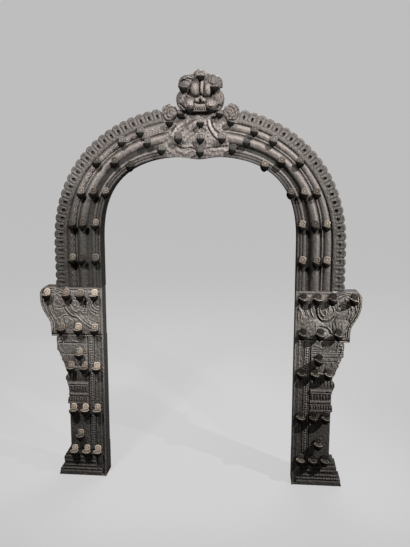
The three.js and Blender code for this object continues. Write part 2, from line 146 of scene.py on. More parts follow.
def turnedPart(profile, wear, segments, centre, upright=True):
    # a closed turned form: radius and height pairs from pole to pole, round z or round the depth axis
    profile = np.asarray(profile, dtype=float)
    turn = np.arange(segments) * 2 * math.pi / segments
    radius = profile[1:-1, 0][:, None]
    height = np.broadcast_to(profile[1:-1, 1][:, None], (len(profile) - 2, segments))
    a, b = radius * np.cos(turn), radius * np.sin(turn)
    order = (a, b, height) if upright else (a, -height, b)
    points = np.stack(order, axis=-1).reshape(-1, 3)
    poles = [(0, 0, h) if upright else (0, -h, 0) for h in (profile[0, 1], profile[-1, 1])]
    points = np.concatenate([points, poles]) + np.asarray(centre)
    rows = len(profile) - 2
    faces = gridFaces(rows, segments, closed=True).tolist()
    first, last = rows * segments, rows * segments + 1
    for i in range(segments):
        j = (i + 1) % segments
        faces.append([first, j, i])
        faces.append([last, (rows - 1) * segments + i, (rows - 1) * segments + j])
    wear = np.asarray(wear, dtype=float)
    spread = np.repeat(wear[1:-1], segments)
    return points, faces, np.concatenate([spread, [wear[0], wear[-1]]])


# relief shapes, each a height over x and z


def readTable(table, at):
    # a table of pairs, read between its rows
    return np.interp(at, *np.array(table, dtype=float).T)


def dome(x, z, centre, radii, rise, power=2.0):
    # rise times the root of one minus the squared distance, measured in radii
    away = ((x - centre[0]) / radii[0]) ** 2 + ((z - centre[1]) / radii[1]) ** 2
    return rise * np.clip(1 - away, 0, None) ** (1 / power)


def distanceTo(x, z, path):
    # the least distance to a run of straight stretches
    nearest = np.full(x.shape, 1e9)
    for (x0, z0), (x1, z1) in zip(path[:-1], path[1:]):
        dx, dz = x1 - x0, z1 - z0
        share = np.clip(((x - x0) * dx + (z - z0) * dz) / (dx * dx + dz * dz + 1e-9), 0, 1)
        nearest = np.minimum(nearest, np.hypot(x - x0 - share * dx, z - z0 - share * dz))
    return nearest


def cordOn(x, z, path, halfWidth, rise):
    # a round cord along a path
    return rise * np.sqrt(np.clip(1 - (distanceTo(x, z, path) / halfWidth) ** 2, 0, None))


def smoothPath(points, count=24):
    # a curve through the points, each stretch a cubic from its neighbours
    p = np.asarray([points[0], *points, points[-1]], dtype=float)
    steps = np.linspace(0, 1, max(2, count // (len(points) - 1)), endpoint=False)[:, None]
    out = []
    for a, b, c, d in zip(p[:-3], p[1:-2], p[2:-1], p[3:]):
        out.append(
            0.5 * (2 * b + (c - a) * steps + (2 * a - 5 * b + 4 * c - d) * steps**2
                   + (3 * b - a - 3 * c + d) * steps**3)
        )
    return np.concatenate([*out, p[-1:]]).tolist()


def grooved(height, x, z, grooves):
    # lowers a height along each path, most on the path itself, and less to both sides by a bell curve
    for points, halfWidth, depth in grooves:
        height = height - depth * np.exp(-((distanceTo(x, z, smoothPath(points)) / halfWidth) ** 2))
    return height


def spiralPath(centre, outer, inner, turns, start, direction):
    # the radius shrinks evenly with the angle
    share = np.linspace(0, 1, 26)
    angle = start + direction * share * turns * 2 * math.pi
    radius = outer + (inner - outer) * share
    return np.stack([centre[0] + radius * np.cos(angle), centre[1] + radius * np.sin(angle)], -1).tolist()


waves = [  # direction, length and phase of the low swells that make a casting uneven
    (rng.uniform(0, math.pi), rng.uniform(5, 17), rng.uniform(0, 2 * math.pi)) for _ in range(14)
]


def uneven(x, z, rise):
    # a sum of sine swells in many directions
    height = np.zeros_like(x)
    for turn, length, phase in waves:
        along = x * math.cos(turn) + z * math.sin(turn)
        height += np.sin(2 * math.pi * along / length + phase + 0.8 * np.sin(x * 0.11 + z * 0.07))
    return rise * height / math.sqrt(len(waves) / 2)


# materials

bronzeLooks = {
    "bronze": {
        "dark": (0.068, 0.060, 0.054), "mid": (0.195, 0.166, 0.152), "rubbed": (0.37, 0.312, 0.285),
        "green": (0.125, 0.15, 0.125), "greenShare": 0.6, "roughness": 0.52, "metallic": 0.15,
    },
    "dark_bronze": {
        "dark": (0.03, 0.026, 0.024), "mid": (0.075, 0.064, 0.056), "rubbed": (0.15, 0.125, 0.105),
        "green": (0.055, 0.075, 0.063), "greenShare": 0.3, "roughness": 0.6, "metallic": 0.25,
    },
    "green_bronze": {
        "dark": (0.075, 0.067, 0.058), "mid": (0.225, 0.198, 0.176), "rubbed": (0.42, 0.365, 0.325),
        "green": (0.13, 0.15, 0.128), "greenShare": 0.35, "roughness": 0.54, "metallic": 0.15,
    },
    "worn_bronze": {
        "dark": (0.03, 0.024, 0.02), "mid": (0.13, 0.105, 0.085), "rubbed": (0.56, 0.46, 0.37),
        "green": (0.05, 0.06, 0.045), "greenShare": 0.2, "roughness": 0.5, "metallic": 0.2,
    },
}


def newGraph(owner):
    # empties a material's or world's nodes; gives back one function to add a node and one to link sockets
    owner.use_nodes = True
    nodes = owner.node_tree.nodes
    nodes.clear()

    def node(kind, **values):
        made = nodes.new(kind)
        for key, value in values.items():
            if key in made.inputs:
                made.inputs[key].default_value = value
            else:
                setattr(made, key, value)
        return made

    return node, owner.node_tree.links.new


def shaderSteps(node, link):
    # small steps of a shader, each giving back the socket of its result
    coords = node("ShaderNodeTexCoord")

    def noise(scale, detail, roughness=0.6):
        made = node("ShaderNodeTexNoise", Scale=scale, Detail=detail, Roughness=roughness)
        link(coords.outputs["Object"], made.inputs["Vector"])
        return made.outputs["Fac"]

    def ramp(source, fromLow, fromHigh, toLow=0.0, toHigh=1.0):
        made = node("ShaderNodeMapRange")
        link(source, made.inputs["Value"])
        ends = {"From Min": fromLow, "From Max": fromHigh, "To Min": toLow, "To Max": toHigh}
        for key, value in ends.items():
            made.inputs[key].default_value = value
        return made.outputs["Result"]

    def times(a, b):
        made = node("ShaderNodeMath", operation="MULTIPLY")
        link(a, made.inputs[0])
        if isinstance(b, float):
            made.inputs[1].default_value = b
        else:
            link(b, made.inputs[1])
        return made.outputs[0]

    def mix(share, a, b):
        made = node("ShaderNodeMix", data_type="RGBA")
        link(share, made.inputs["Factor"])
        for socket, value in ((made.inputs["A"], a), (made.inputs["B"], b)):
            if isinstance(value, tuple):
                socket.default_value = (*value, 1)
            else:
                link(value, socket)
        return made.outputs["Result"]

    return noise, ramp, times, mix


def bronzeMaterial(name, look):
    material = bpy.data.materials.new(name)
    node, link = newGraph(material)
    noise, ramp, times, mix = shaderSteps(node, link)
    wear = node("ShaderNodeAttribute", attribute_name="wear").outputs["Fac"]
    # lift is how pale the bronze is: rubbed wear, with painted light paler towards the crown and painted
    # shade in hollows, on the sides, the left leg and under the lamps
    lift = node("ShaderNodeAttribute", attribute_name="lift").outputs["Fac"]
    broad = noise(7, 3)
    mottle = noise(95, 6, 0.7)
    grain = noise(460, 3, 0.75)
    base = mix(ramp(mottle, 0.3, 0.7, 0.2, 1.05), look["dark"], look["mid"])
    crest = times(ramp(wear, 0.45, 1.0), ramp(mottle, 0.3, 0.6, 0.6, 1.0))
    rubbed = mix(crest, base, look["rubbed"])
    # hollows go dark: partly patina, partly painted shade
    hollowPatinaAndShade = ramp(wear, 0.12, 0.5, 1.0, 0.0)
    hollowsDarkened = mix(times(hollowPatinaAndShade, ramp(lift, 0.2, 0.9, 0.85, 0.5)), rubbed, look["dark"])
    patches = times(ramp(broad, 0.44, 0.62), ramp(grain, 0.36, 0.6))
    patches = times(patches, ramp(lift, 0.1, 0.8, 1.0, 0.12))  # green where lift is low, on the least rubbed bronze and in the painted shade
    tinted = mix(times(patches, look["greenShare"]), hollowsDarkened, look["green"])
    # the whole colour is then scaled: up where lift is high, where the bronze is rubbed pale and painted
    # light is laid, down in painted shade, and up and down with the grain
    level = times(ramp(lift, 0.0, 1.0, 0.2, 1.3), ramp(grain, 0.3, 0.7, 0.6, 1.4))
    scaled = node("ShaderNodeVectorMath", operation="SCALE")
    link(tinted, scaled.inputs["Vector"])
    link(level, scaled.inputs["Scale"])
    shader = node("ShaderNodeBsdfPrincipled", Metallic=look["metallic"])
    link(ramp(lift, -0.15, 0.3, 0.04, 0.4), shader.inputs["Specular IOR Level"])  # soot and painted shade have no shine
    link(scaled.outputs["Vector"], shader.inputs["Base Color"])
    rough = ramp(mottle, 0.3, 0.7, look["roughness"] - 0.1, look["roughness"] + 0.18)
    link(rough, shader.inputs["Roughness"])
    pits = node("ShaderNodeBump", Strength=0.3, Distance=0.0012)
    link(mottle, pits.inputs["Height"])
    fine = node("ShaderNodeBump", Strength=0.25, Distance=0.0005)
    link(grain, fine.inputs["Height"])
    link(pits.outputs["Normal"], fine.inputs["Normal"])
    link(fine.outputs["Normal"], shader.inputs["Normal"])
    output = node("ShaderNodeOutputMaterial")
    link(shader.outputs["BSDF"], output.inputs["Surface"])
    return material


bronzes = {name: bronzeMaterial(name, look) for name, look in bronzeLooks.items()}
print("materials made")


patinaAndShade = {
    # how pale the bronze is at each height: bright at the mask and the capitals, dull on the legs; partly
    # rubbed wear and partly painted light, brightest at the crown
    "byHeight": [
        (0, 0.03), (78, 0.06), (200, 0.10), (250, 0.18), (290, 0.30), (366, 0.32), (367, 0.30),
        (489.7, 0.27), (490, 0.06), (560, 0.07), (640, 0.11), (700, 0.28), (760, 0.66), (880, 0.92),
        (1000, 0.92),
    ],
    "leftShade": 0.13,  # painted shade: how much darker the arch's left leg is made
    "sideShade": 0.45,  # painted shade: the share it takes on the sides and back behind the face
    "sootAndShade": -0.17,  # the blackest level: soot and painted shade under the lamps
    "lamp": 0.55,  # the least level of a lamp's lip and lug, rubbed and with a painted highlight
    "sharpAngle": 48,  # degrees
}


def liftOf(points, wear, dull, darkening, sootyAndShaded):
    # how pale each point is by its height and side, rubbed wear mixed with painted light, less what painted
    # shade, the mask's darkening and soot take from it
    x, y, z = points.T
    sootAndShade = patinaAndShade["sootAndShade"]
    lift = dull * readTable(patinaAndShade["byHeight"], z)
    # painted shade, darker down the arch's left leg
    leftShadeShare = np.clip(-x / 200, 0, 1) * np.clip((z - jointZ + 0.2) * 9, 0, 1)
    lift = lift - patinaAndShade["leftShade"] * leftShadeShare * np.clip((860 - z) / 120, 0, 1)
    # painted shade on the sides and back behind the face
    darkening = darkening + patinaAndShade["sideShade"] * (1 - darkening) * (y > plateY - 1.5)
    lift = (lift - sootAndShade) * (1 - darkening) + sootAndShade
    if sootyAndShaded:
        # lamps are black below, with soot and painted shade, and pale at lip and lug, rubbed and with a
        # painted highlight, whatever surrounds them
        lift = sootAndShade + (np.maximum(lift, patinaAndShade["lamp"]) - sootAndShade) * np.clip(1.3 * wear - 0.2, 0, 1)
    return lift


def addPiece(name, part, body, slotName, nodes, dull=1.0, darkening=0.0, sootyAndShaded=False):
    points, faces, wear = part
    mesh = bpy.data.meshes.new(name)
    mesh.from_pydata((points * 0.001).tolist(), [], faces)
    work = bmesh.new()
    work.from_mesh(mesh)
    bmesh.ops.recalc_face_normals(work, faces=work.faces)
    work.to_mesh(mesh)
    work.free()
    for attributeName, values in (("wear", wear), ("lift", liftOf(points, wear, dull, darkening, sootyAndShaded))):
        attribute = mesh.attributes.new(attributeName, "FLOAT", "POINT")
        attribute.data.foreach_set("value", np.ascontiguousarray(values, dtype=np.float32))
    mesh.shade_smooth()
    mesh.set_sharp_from_angle(angle=math.radians(patinaAndShade["sharpAngle"]))
    mesh.materials.append(bronzes[slotName])
    piece = bpy.data.objects.new(name, mesh)
    bpy.context.scene.collection.objects.link(piece)
    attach(piece, body)
    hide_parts(*nodes)


# the arch

arch = {
    "centre": 590.0, "crown": 806.0,  # heights where the curve starts and where the opening ends
    "band": 83.0, "border": 33.0,  # widths of the mouldings and of the lobed border
    "innerPower": 2.75, "outerPower": 2.2,  # how square the curve is at the opening and at the border
    "cusp": 7.0, "cuspHalf": 34.0,  # drop and half width of the point at the crown
    "step": 1.35, "columns": 105,  # of the relief's grid
    # painted shade: distance outside the opening and how dark the casting is painted there, then height and
    # share of that
    "shadeOut": [
        (0, 0.64), (12, 0.7), (15, 0.8), (17, 0.15), (20, 0.25), (22, 1), (31, 1), (36, 0), (53, 0),
        (55, 0.5), (57, 0), (80, 0), (81, 0.7), (83, 0.5),
    ],
    "shadeUp": [(490, 0.72), (640, 1), (740, 0.9), (860, 0.55)],
}
crownShift = 8.0  # the mask, its volutes and the lamps round it sit a little right of the opening's middle
volute = {"spread": 72.0, "height": 905.0, "radius": 19.0, "dull": 0.75}


def crestAngle(side):
    # from the crown to the end of a lobed border, just short of the volute
    across, rise = volute["spread"] + side * crownShift, volute["height"] - arch["centre"]
    return math.atan2(across, rise) + math.asin((volute["radius"] + 0.6) / math.hypot(across, rise))


def archPoint(s, q):
    # s is the distance outside the opening. q runs 0 to 1 up the right leg, 1 to 3 over the top, 3 to 4
    # down the left leg. The curve is a superellipse whose exponent eases from the opening to the border.
    angle = (np.clip(q, 1, 3) - 1) * math.pi / 2
    leg = np.where(q < 1, 1 - q, np.where(q > 3, q - 3, 0)) * (arch["centre"] - jointZ - seam)
    share = np.clip(s / arch["band"], 0, 1)
    power = arch["innerPower"] + (arch["outerPower"] - arch["innerPower"]) * share
    across = np.abs(np.cos(angle)) / (innerX + s)
    up = np.abs(np.sin(angle)) / (arch["crown"] - arch["centre"] + s)
    reach = (across**power + up**power) ** (-1 / power)
    x = reach * np.cos(angle)
    cusp = arch["cusp"] * np.exp(-((x / arch["cuspHalf"]) ** 2)) * np.clip(1 - 4 * share, 0, None)
    return x, arch["centre"] + reach * np.sin(angle) - cusp - leg


def archEdge(s, q, y):
    # one line of points along the arch at depth y, as a column of a grid
    x, z = archPoint(np.full_like(q, s), q)
    return np.stack([x, np.full_like(q, y), z], axis=-1)[:, None]


def archStations(s, first, last, step):
    # even steps of length along the curve that lies s outside the opening
    fine = np.linspace(first, last, 4000)
    x, z = archPoint(np.full_like(fine, s), fine)
    run = np.concatenate([[0], np.cumsum(np.hypot(np.diff(x), np.diff(z)))])
    length = np.linspace(0, run[-1], int(run[-1] / step) + 1)
    return np.interp(length, run, fine), length


bandProfile = [  # distance outside the opening, height
    (0, 1.8), (0.8, 3), (4.6, 3.2), (5.6, 1.4), (6.6, 1.2), (7.6, 2.8), (11.4, 3), (12.4, 1.2), (13.6, 1),
    (14.8, 2.6), (19.6, 2.4), (21.2, 0.6), (23, -2.2), (26, -3.2), (29.5, -3), (32, -0.8), (34, 1.8),
    (38, 4.8), (43, 6.6), (47, 6.6), (50.5, 5), (53.4, 1.8), (54.6, -0.8), (56, -1.4), (57.2, 0.6),
    (58.4, 2), (60.2, 2), (61.2, 0), (62.4, -0.8), (63.8, 0.8), (67, 2.8), (72, 3.8), (76, 3.2),
    (79.4, 1.2), (80.6, -1.6), (81.8, -1.8), (82.4, 0.4), (83, 0.8),
]


def vineOn(s, run):
    # a running scroll: the stem waves about its middle line and throws a leaf into each bend
    pitch, middle = 29.0, 68.0
    phase = 2 * math.pi * run / pitch
    stem = middle + 3.4 * np.sin(phase)
    height = 1.9 * np.sqrt(np.clip(1 - ((s - stem) / 2.1) ** 2, 0, None))
    for sign in (-1, 1):
        near = (run / pitch + (0.25 if sign > 0 else 0.75)) % 1 - 0.5
        along, across = near * pitch, s - (middle - sign * 2.6)
        leaf = np.clip(1 - (along / 5.6) ** 2 - (across / 3.6) ** 2, 0, None)
        height = np.maximum(height, 2.3 * np.sqrt(leaf) * (0.75 + 0.25 * np.cos(along * 2.4)))
    return height


crownLeaves = {
    # middle, half sizes, rise
    "domes": [
        ((-24, 822), (22, 12), 2), ((40, 815), (36, 10), 1.6), ((0, 880), (26, 22), 2.4),
        ((2, 842), (34, 20), 2), ((76, 868), (34, 14), 2.2), ((-66, 866), (30, 22), 2.2),
        ((-38, 848), (18, 16), 1.4),
    ],
    # points, half width, rise of a ridge or depth of a groove
    "ridges": [
        ([(27, 885), (30, 874), (36, 863), (44, 852), (52, 845)], 4.4, 2.4),
        ([(-14, 892), (-32, 882), (-48, 866), (-58, 852)], 4, 1.6),
        ([(-4, 872), (-20, 862), (-34, 850), (-42, 838)], 4, 1.4),
        ([(48, 896), (62, 882), (80, 876), (100, 870), (118, 862)], 6, 2),
        ([(-40, 900), (-60, 886), (-76, 872), (-90, 862)], 5, 1.8),
        ([(-34, 829), (-22, 826), (-12, 829)], 4.5, 1.8),
        ([(-46, 820), (-34, 812), (-22, 813)], 4.5, 1.8), ([(4, 826), (14, 823), (26, 827)], 4, 1.2),
        ([(34, 820), (50, 822), (66, 820)], 5, 1.8), ([(-74, 826), (-64, 818), (-54, 814)], 4.5, 1.4),
    ],
    "grooves": [
        ([(23, 887), (25, 874), (30, 863), (37, 852), (46, 843)], 1.5, 3.4),
        ([(33, 887), (37, 872), (44, 863), (56, 853)], 1.5, 3.4),
        ([(-3, 888), (-22, 877), (-36, 863), (-52, 848)], 1.4, 2.4),
        ([(-26, 897), (-45, 881), (-61, 861)], 1.4, 2.2), ([(-10, 884), (-18, 877), (-27, 868)], 3, 2.6),
        ([(-2, 858), (-14, 850), (-24, 840)], 1.3, 1.6),
        (
            [(-52, 831), (-34, 823), (-17, 825), (-8, 822), (2, 817), (13, 820), (30, 824), (48, 826),
             (75, 829)], 1.5, 2.8,
        ),
        ([(57, 892), (76, 885), (94, 880), (113, 876)], 1.3, 2.2),
        ([(-20, 812), (-8, 815), (2, 810), (12, 808)], 1.2, 1.8),
    ],
    "beads": [(-10, 868), (-3, 863.5), (6, 861), (15, 862), (23, 866)],
}


def crownRelief(x, z):
    # broad leaves fall from the mask to both sides, over a rolled lower edge drawn down to a cusp
    height = np.full(x.shape, 3.4)
    for form in crownLeaves["domes"]:
        height += dome(x, z, *form)
    height += uneven(x, z, 0.28)
    for points, halfWidth, rise in crownLeaves["ridges"]:
        height += cordOn(x, z, smoothPath(points), halfWidth, rise)
    height = grooved(height, x, z, crownLeaves["grooves"])
    for bead in crownLeaves["beads"]:
        height += dome(x, z, bead, (2.6, 2.4), 2.2)
    return height


def cartoucheOn(x, z):
    # a long raised leaf on the torus left of the mask
    path = smoothPath([(-74, 866), (-90, 864), (-106, 859), (-124, 850)])
    away = distanceTo(x, z, path)
    height = 6.6 * np.sqrt(np.clip(1 - (away / 9.0) ** 2, 0, None))
    veins = 1 - 0.16 * (0.5 + 0.5 * np.cos(away * 1.7)) - 0.1 * (0.5 + 0.5 * np.cos(x * 0.9))
    return height * veins


def bandHeight(s):
    # the profile of the mouldings, its corners rounded by a running mean
    fine = np.linspace(0, arch["band"], 800)
    padded = np.pad(readTable(bandProfile, fine), 6, mode="edge")
    return np.interp(s, fine, np.convolve(padded, np.ones(13) / 13, "valid"))


def archPaintedShade(x, z, s):
    # painted shade in the cove, less on the inner band, and none under the mask's leaves
    aside = np.clip((np.abs(x + 4) - 72) / 24, 0, 1)
    return readTable(arch["shadeOut"], s) * aside * readTable(arch["shadeUp"], z)


def archRelief():
    band = arch["band"]
    q, run = archStations(band / 2, 0, 4, arch["step"])
    qGrid, s = np.meshgrid(q, np.linspace(0, band, arch["columns"]), indexing="ij")
    run = np.broadcast_to(run[:, None], s.shape)
    x, z = archPoint(s, qGrid)
    vineShare = np.clip((-x - 40) / 60, 0, 1)  # the scroll shows on the left; the right is rubbed smooth
    height = bandHeight(s) + vineOn(s, run) * vineShare * ((s > 62) & (s < 80))
    bead = np.clip(1 - (((run / 3.4) % 1 - 0.5) * 2.2) ** 2, 0, 1)
    height += 0.9 * bead * vineShare * ((s > 57) & (s < 61.5))
    crown = crownRelief(x, z)
    height = np.where((x > -81) & (x < 74) & (s < 36), crown, height)
    # above that the leaves hide the mouldings, and thin out over them to both sides
    cover = np.clip((84 - np.abs(x + 4)) / 26, 0, 1) * (s >= 36)
    height = height * (1 - cover) + crown * cover
    fade = 1 - 0.35 * np.clip((jointZ + 60 - z) / 60, 0, 1)  # the mouldings die away towards the joint
    height = height * fade + uneven(x, z, 0.12)
    height = np.where(x < -60, np.maximum(height, cartoucheOn(x, z)), height)
    height = np.clip(height, -3.4, 9.5)
    # the back is hollow between two rims
    depth, plateDepth = rimDepths["arch"], plateY - faceY
    back = [
        (band, depth), (band - wall, depth), (band - wall, plateDepth),
        (wall, plateDepth), (wall, depth), (0, depth),
    ]
    rings = [np.stack([x, faceY - height, z], axis=-1)]
    rings += [archEdge(out, q, faceY + behind) for out, behind in back]
    wear = np.concatenate([wearAndShadeOf(height, 3, 0.28), np.full((len(q), len(back)), plainWear)], axis=1)
    # painted shade in the cove and grooves, and on the rims behind
    darkening = np.concatenate([archPaintedShade(x, z, s), np.full((len(q), len(back)), 0.5)], axis=1)
    return loopPart(np.concatenate(rings, axis=1), wear.ravel()), darkening.ravel()


def crestPart():
    # the plain ground behind the mask, between the two lobed borders
    q = np.linspace(2 - crestAngle(1) / (math.pi / 2), 2 + crestAngle(-1) / (math.pi / 2), 60)
    outline = [(82, 0.2), (106, 0.2), (107, -0.6), (107, -8), (82, -8)]
    rings = [archEdge(s, q, faceY - height) for s, height in outline]
    return loopPart(np.concatenate(rings, axis=1), np.full(len(q) * len(outline), 0.4))


lobes = {
    "pitch": 20.0, "notch": 4.6, "start": 83.3,
    # distance in from a petal's edge, height
    "rim": [(-1, 0.6), (0, 1.1), (1.2, 2), (3, 2.8), (5, 2.8), (7, 2.3), (12, 2)],
    "niche": (98.0, 5.4, 7.0),  # distance out, half length and depth of the sunk heart
    "band": [(83, 0.2), (84.4, 1.8), (88, 2.5), (91, 2.2), (93, 1.9)],  # distance out, height
    # how pale each border is; the left one darker with painted shade
    "dull": {"left": 0.52, "right": 0.6},
}


def lobedBorder(side):
    # a row of petals, each a raised rim round a sunk heart, over a smooth band
    end = 2 - (crestAngle(side) + 0.003) / (math.pi / 2)
    q, run = archStations(99.5, 0, end, 1.0)
    if side < 0:
        q = 4 - q
    count = max(1, round(run[-1] / lobes["pitch"]))
    petal = run / run[-1] * count
    u = (petal % 1) - 0.5  # nought at the middle of a petal
    pitch = run[-1] / count
    outer = arch["band"] + arch["border"] - 1.2
    edge = outer - lobes["notch"] * (2 * np.abs(u)) ** 2.6
    v = np.linspace(0, 1, 36)
    s = lobes["start"] + v[None, :] * (edge[:, None] - lobes["start"])
    qGrid = np.broadcast_to(q[:, None], s.shape)
    x, z = archPoint(s, qGrid)
    across = np.broadcast_to(np.abs(u)[:, None] * pitch, s.shape)
    fromEdge = np.minimum(pitch / 2 - across, (edge[:, None] - s) + 0.6)
    petals = readTable(lobes["rim"], fromEdge)
    wide = 3.1 + 1.4 * np.clip((880 - z) / 260, 0, 1)  # the hearts open out down the sides
    middle, long, deep = lobes["niche"]
    heart = np.clip(1 - (across / wide) ** 2 - ((s - middle) / long) ** 2, 0, None)
    shallow = np.clip((z - 480) / 200, 0.35, 1)  # worn soft on the legs
    petals = petals - shallow * (deep * np.sqrt(heart) - 0.35 * np.cos(across * 2.1) * (s > 104))
    blend = np.clip((s - 91) / 3, 0, 1)
    height = readTable(lobes["band"], s) * (1 - blend) + petals * blend + uneven(x, z, 0.2)
    return reliefPart(x, z, height, plateY, reach=2, gain=0.24)


band, bandShade = archRelief()
addPiece("arch_band", band, "arch", "bronze", ["arch_casting"], darkening=bandShade)
addPiece("arch_crest", crestPart(), "arch", "bronze", ["arch_casting"])
for sideName, side in sides.items():
    dull = lobes["dull"][sideName]
    addPiece("petals_" + sideName, lobedBorder(side), "arch", "bronze", ["lobed_border_" + sideName], dull)
print("arch made")


# the lion mask

maskHalf = [  # height, half width
    (905, 18), (908, 40), (911, 47), (916, 51), (921, 53), (928, 54.5), (936, 55), (944, 53), (951, 49),
    (955.5, 45), (957.5, 45), (958.5, 50.5), (966, 51), (975, 50), (982, 46), (987, 38), (989, 22),
    (990, 17.5), (994, 14.5), (998, 9), (1000, 2.5),
]
maskDomes = [  # middle, half sizes, height, how square its shoulders are
    ((8, 932), (52, 29), 12, 2.6), ((8, 952), (36, 30), 14.5, 2.6),
    ((-35, 928), (17, 25), 16, 2.0), ((50, 929), (16, 26), 16, 2.0),  # cheeks
    ((-15, 922), (20, 15), 19.5, 2.6), ((33, 922), (20, 14), 19.5, 2.6),  # muzzle
    ((-3.6, 955), (12.2, 17), 23.5, 2.8), ((25.6, 954.5), (11, 16.5), 23.5, 2.8),  # eyes
    ((12.6, 958), (6.2, 24), 21.5, 3.0),  # bridge
    ((0.8, 930), (6.8, 8.6), 24.5, 2.4), ((16.4, 930), (6.8, 8.6), 24.5, 2.4),  # nostrils
    ((8.6, 936), (8, 8), 24, 2.4),  # ridge of the nose
    ((8.6, 918), (24, 10), 18.5, 2.8),
    ((-24, 968), (19, 15.5), 15.5, 3.0), ((44, 969.5), (18, 15.5), 15.5, 5.0),  # ears
    ((-36, 909), (13, 9), 12, 2.4), ((53, 909), (10, 9), 13, 2.4),  # jowls
    ((-14, 920), (5.5, 5.5), 24, 2.0), ((32, 918), (7.5, 5.0), 24, 2.0),  # lip tips
    ((-27, 978), (4.5, 3.2), 19, 2.0), ((-37, 963), (4.5, 3.6), 18.5, 2.0),  # ear tips
]
maskRidges = [  # points, half width, height
    ([(-41, 962), (-39, 971), (-31, 978), (-20, 981), (-12, 979)], 2.2, 16.6),
    ([(-47, 922), (-42, 913), (-32, 906)], 3.4, 15), ([(-36, 921), (-33, 914), (-26, 908)], 2.6, 17),
    ([(62, 926), (60, 914), (51, 907)], 3.4, 15),
    ([(-24, 909), (-12, 907), (8, 906.5), (30, 907), (42, 909)], 2.4, 15.5),
]
maskGrooves = [  # points, half width, depth
    ([(8.2, 980), (8, 962), (8, 947)], 1.2, 4), ([(17.4, 967), (17.2, 955), (16.6, 946)], 1.1, 3.6),
    ([(-16, 952), (-12, 942), (-4, 937.5), (4, 938.6), (9, 943)], 2.7, 9),
    ([(10.5, 942.5), (16.5, 938), (22.4, 936.4), (30.5, 939), (36, 947)], 2.7, 9),
    ([(18.5, 955), (20.2, 962), (24.7, 967), (31.6, 967.6), (37, 964)], 1.1, 4.4),
    ([(-15, 960), (-12, 967), (-6, 970)], 1, 2), ([(8.2, 937), (8.3, 927)], 2, 7),
    ([(1, 924), (8.5, 922.5), (16.5, 924)], 1.6, 6.5), ([(-37, 922), (-28, 915), (-19, 910)], 1.8, 6),
    ([(47, 914), (51, 919), (55, 917)], 1.8, 5), ([(-24, 926), (-22, 917), (-17, 912)], 1.4, 3.4),
    ([(-6, 926), (-6, 918), (-10, 912)], 1.4, 3.4), ([(22, 926), (22, 917), (25, 911)], 1.4, 3.4),
    ([(-24, 938), (-15, 937), (-6, 933)], 1.1, 2), ([(23, 934), (32, 937), (41, 936)], 1.1, 2),
    ([(-27, 932), (-23, 941), (-19, 946)], 1.2, 2.6), ([(40, 930), (39, 940), (37, 947)], 1.2, 2.4),
    ([(46, 946), (54, 941), (58, 932)], 1, 1.2), ([(44, 940), (50, 936), (53, 929)], 1, 1.2),
    ([(-36, 972), (-28, 975), (-18, 972), (-14, 966)], 1.6, 2.6),
    ([(-10, 975), (-13, 966), (-18, 958)], 1.4, 3), ([(33, 978), (31, 970)], 1.4, 2.4),
    ([(-31, 953), (-22, 948), (-17, 942)], 1.5, 3), ([(52, 954), (44, 949), (38, 944)], 1.5, 3),
]


maskCurls = [  # middle, radius, depth: on the left cheek, worn faint on the right
    ((-38, 938), 5.5, 2.4), ((-42, 926), 4.8, 2.2), ((-30, 925), 4.6, 2), ((-27, 936), 4, 1.8),
    ((55, 922), 4.6, 1.4),
]
muzzleTips = [(-15, 921), (33, 919)]


def maskRelief():
    rows = np.linspace(905, 999.8, 176)
    v = np.linspace(-1, 1, 200)[None, :]
    x = crownShift + readTable(maskHalf, rows)[:, None] * v
    z = np.broadcast_to(rows[:, None], x.shape)
    parts = [7.5 * np.clip(1 - np.abs(v) ** 8, 0, None) ** 0.4 * np.ones_like(x)]
    parts += [dome(x, z, *form) for form in maskDomes]
    parts += [cordOn(x, z, smoothPath(points), halfWidth, rise) for points, halfWidth, rise in maskRidges]
    for k in range(6):
        parts.append(dome(x, z, (-4.5 + 5 * k, 910), (2.6, 5.0), 17.5))  # teeth
    height = np.maximum.reduce(parts)
    height = grooved(height, x, z, maskGrooves)
    for middle, radius, depth in maskCurls:
        away = np.hypot(x - middle[0], z - middle[1])
        height -= depth * np.cos(away * 2 * math.pi / 3.6) * np.clip(1.2 - away / radius, 0, 1)
    hood = dome(x, z, (crownShift + 2, 984), (17, 16.5), 15.5, 3.0)
    hood = hood - 2.5 * np.sqrt(dome(x, z, (crownShift + 2, 979), (12, 14), 1.0))
    height = np.maximum(height, hood) + uneven(x, z, 0.3)
    return reliefPart(x, z, height, faceY - seam, reach=4, gain=0.19)


def maskDarkening(x, z):
    # darker towards the cheeks and more at the ears, and paler at two spots on the muzzle
    aside = np.clip((np.abs(x - crownShift) - 18) / 22, 0, 1)
    ears = np.clip((z - 955) / 12, 0, 1)
    tips = sum(np.exp(-(((x - tipX) / 8) ** 2) - ((z - tipZ) / 6) ** 2) for tipX, tipZ in muzzleTips)
    return aside * (0.24 + 0.22 * ears) - 0.75 * tips


face = maskRelief()
faceDarkening = maskDarkening(face[0][:, 0], face[0][:, 2])
addPiece("lion_face", face, "arch", "bronze", ["lion_mask"], dull=0.73, darkening=faceDarkening)


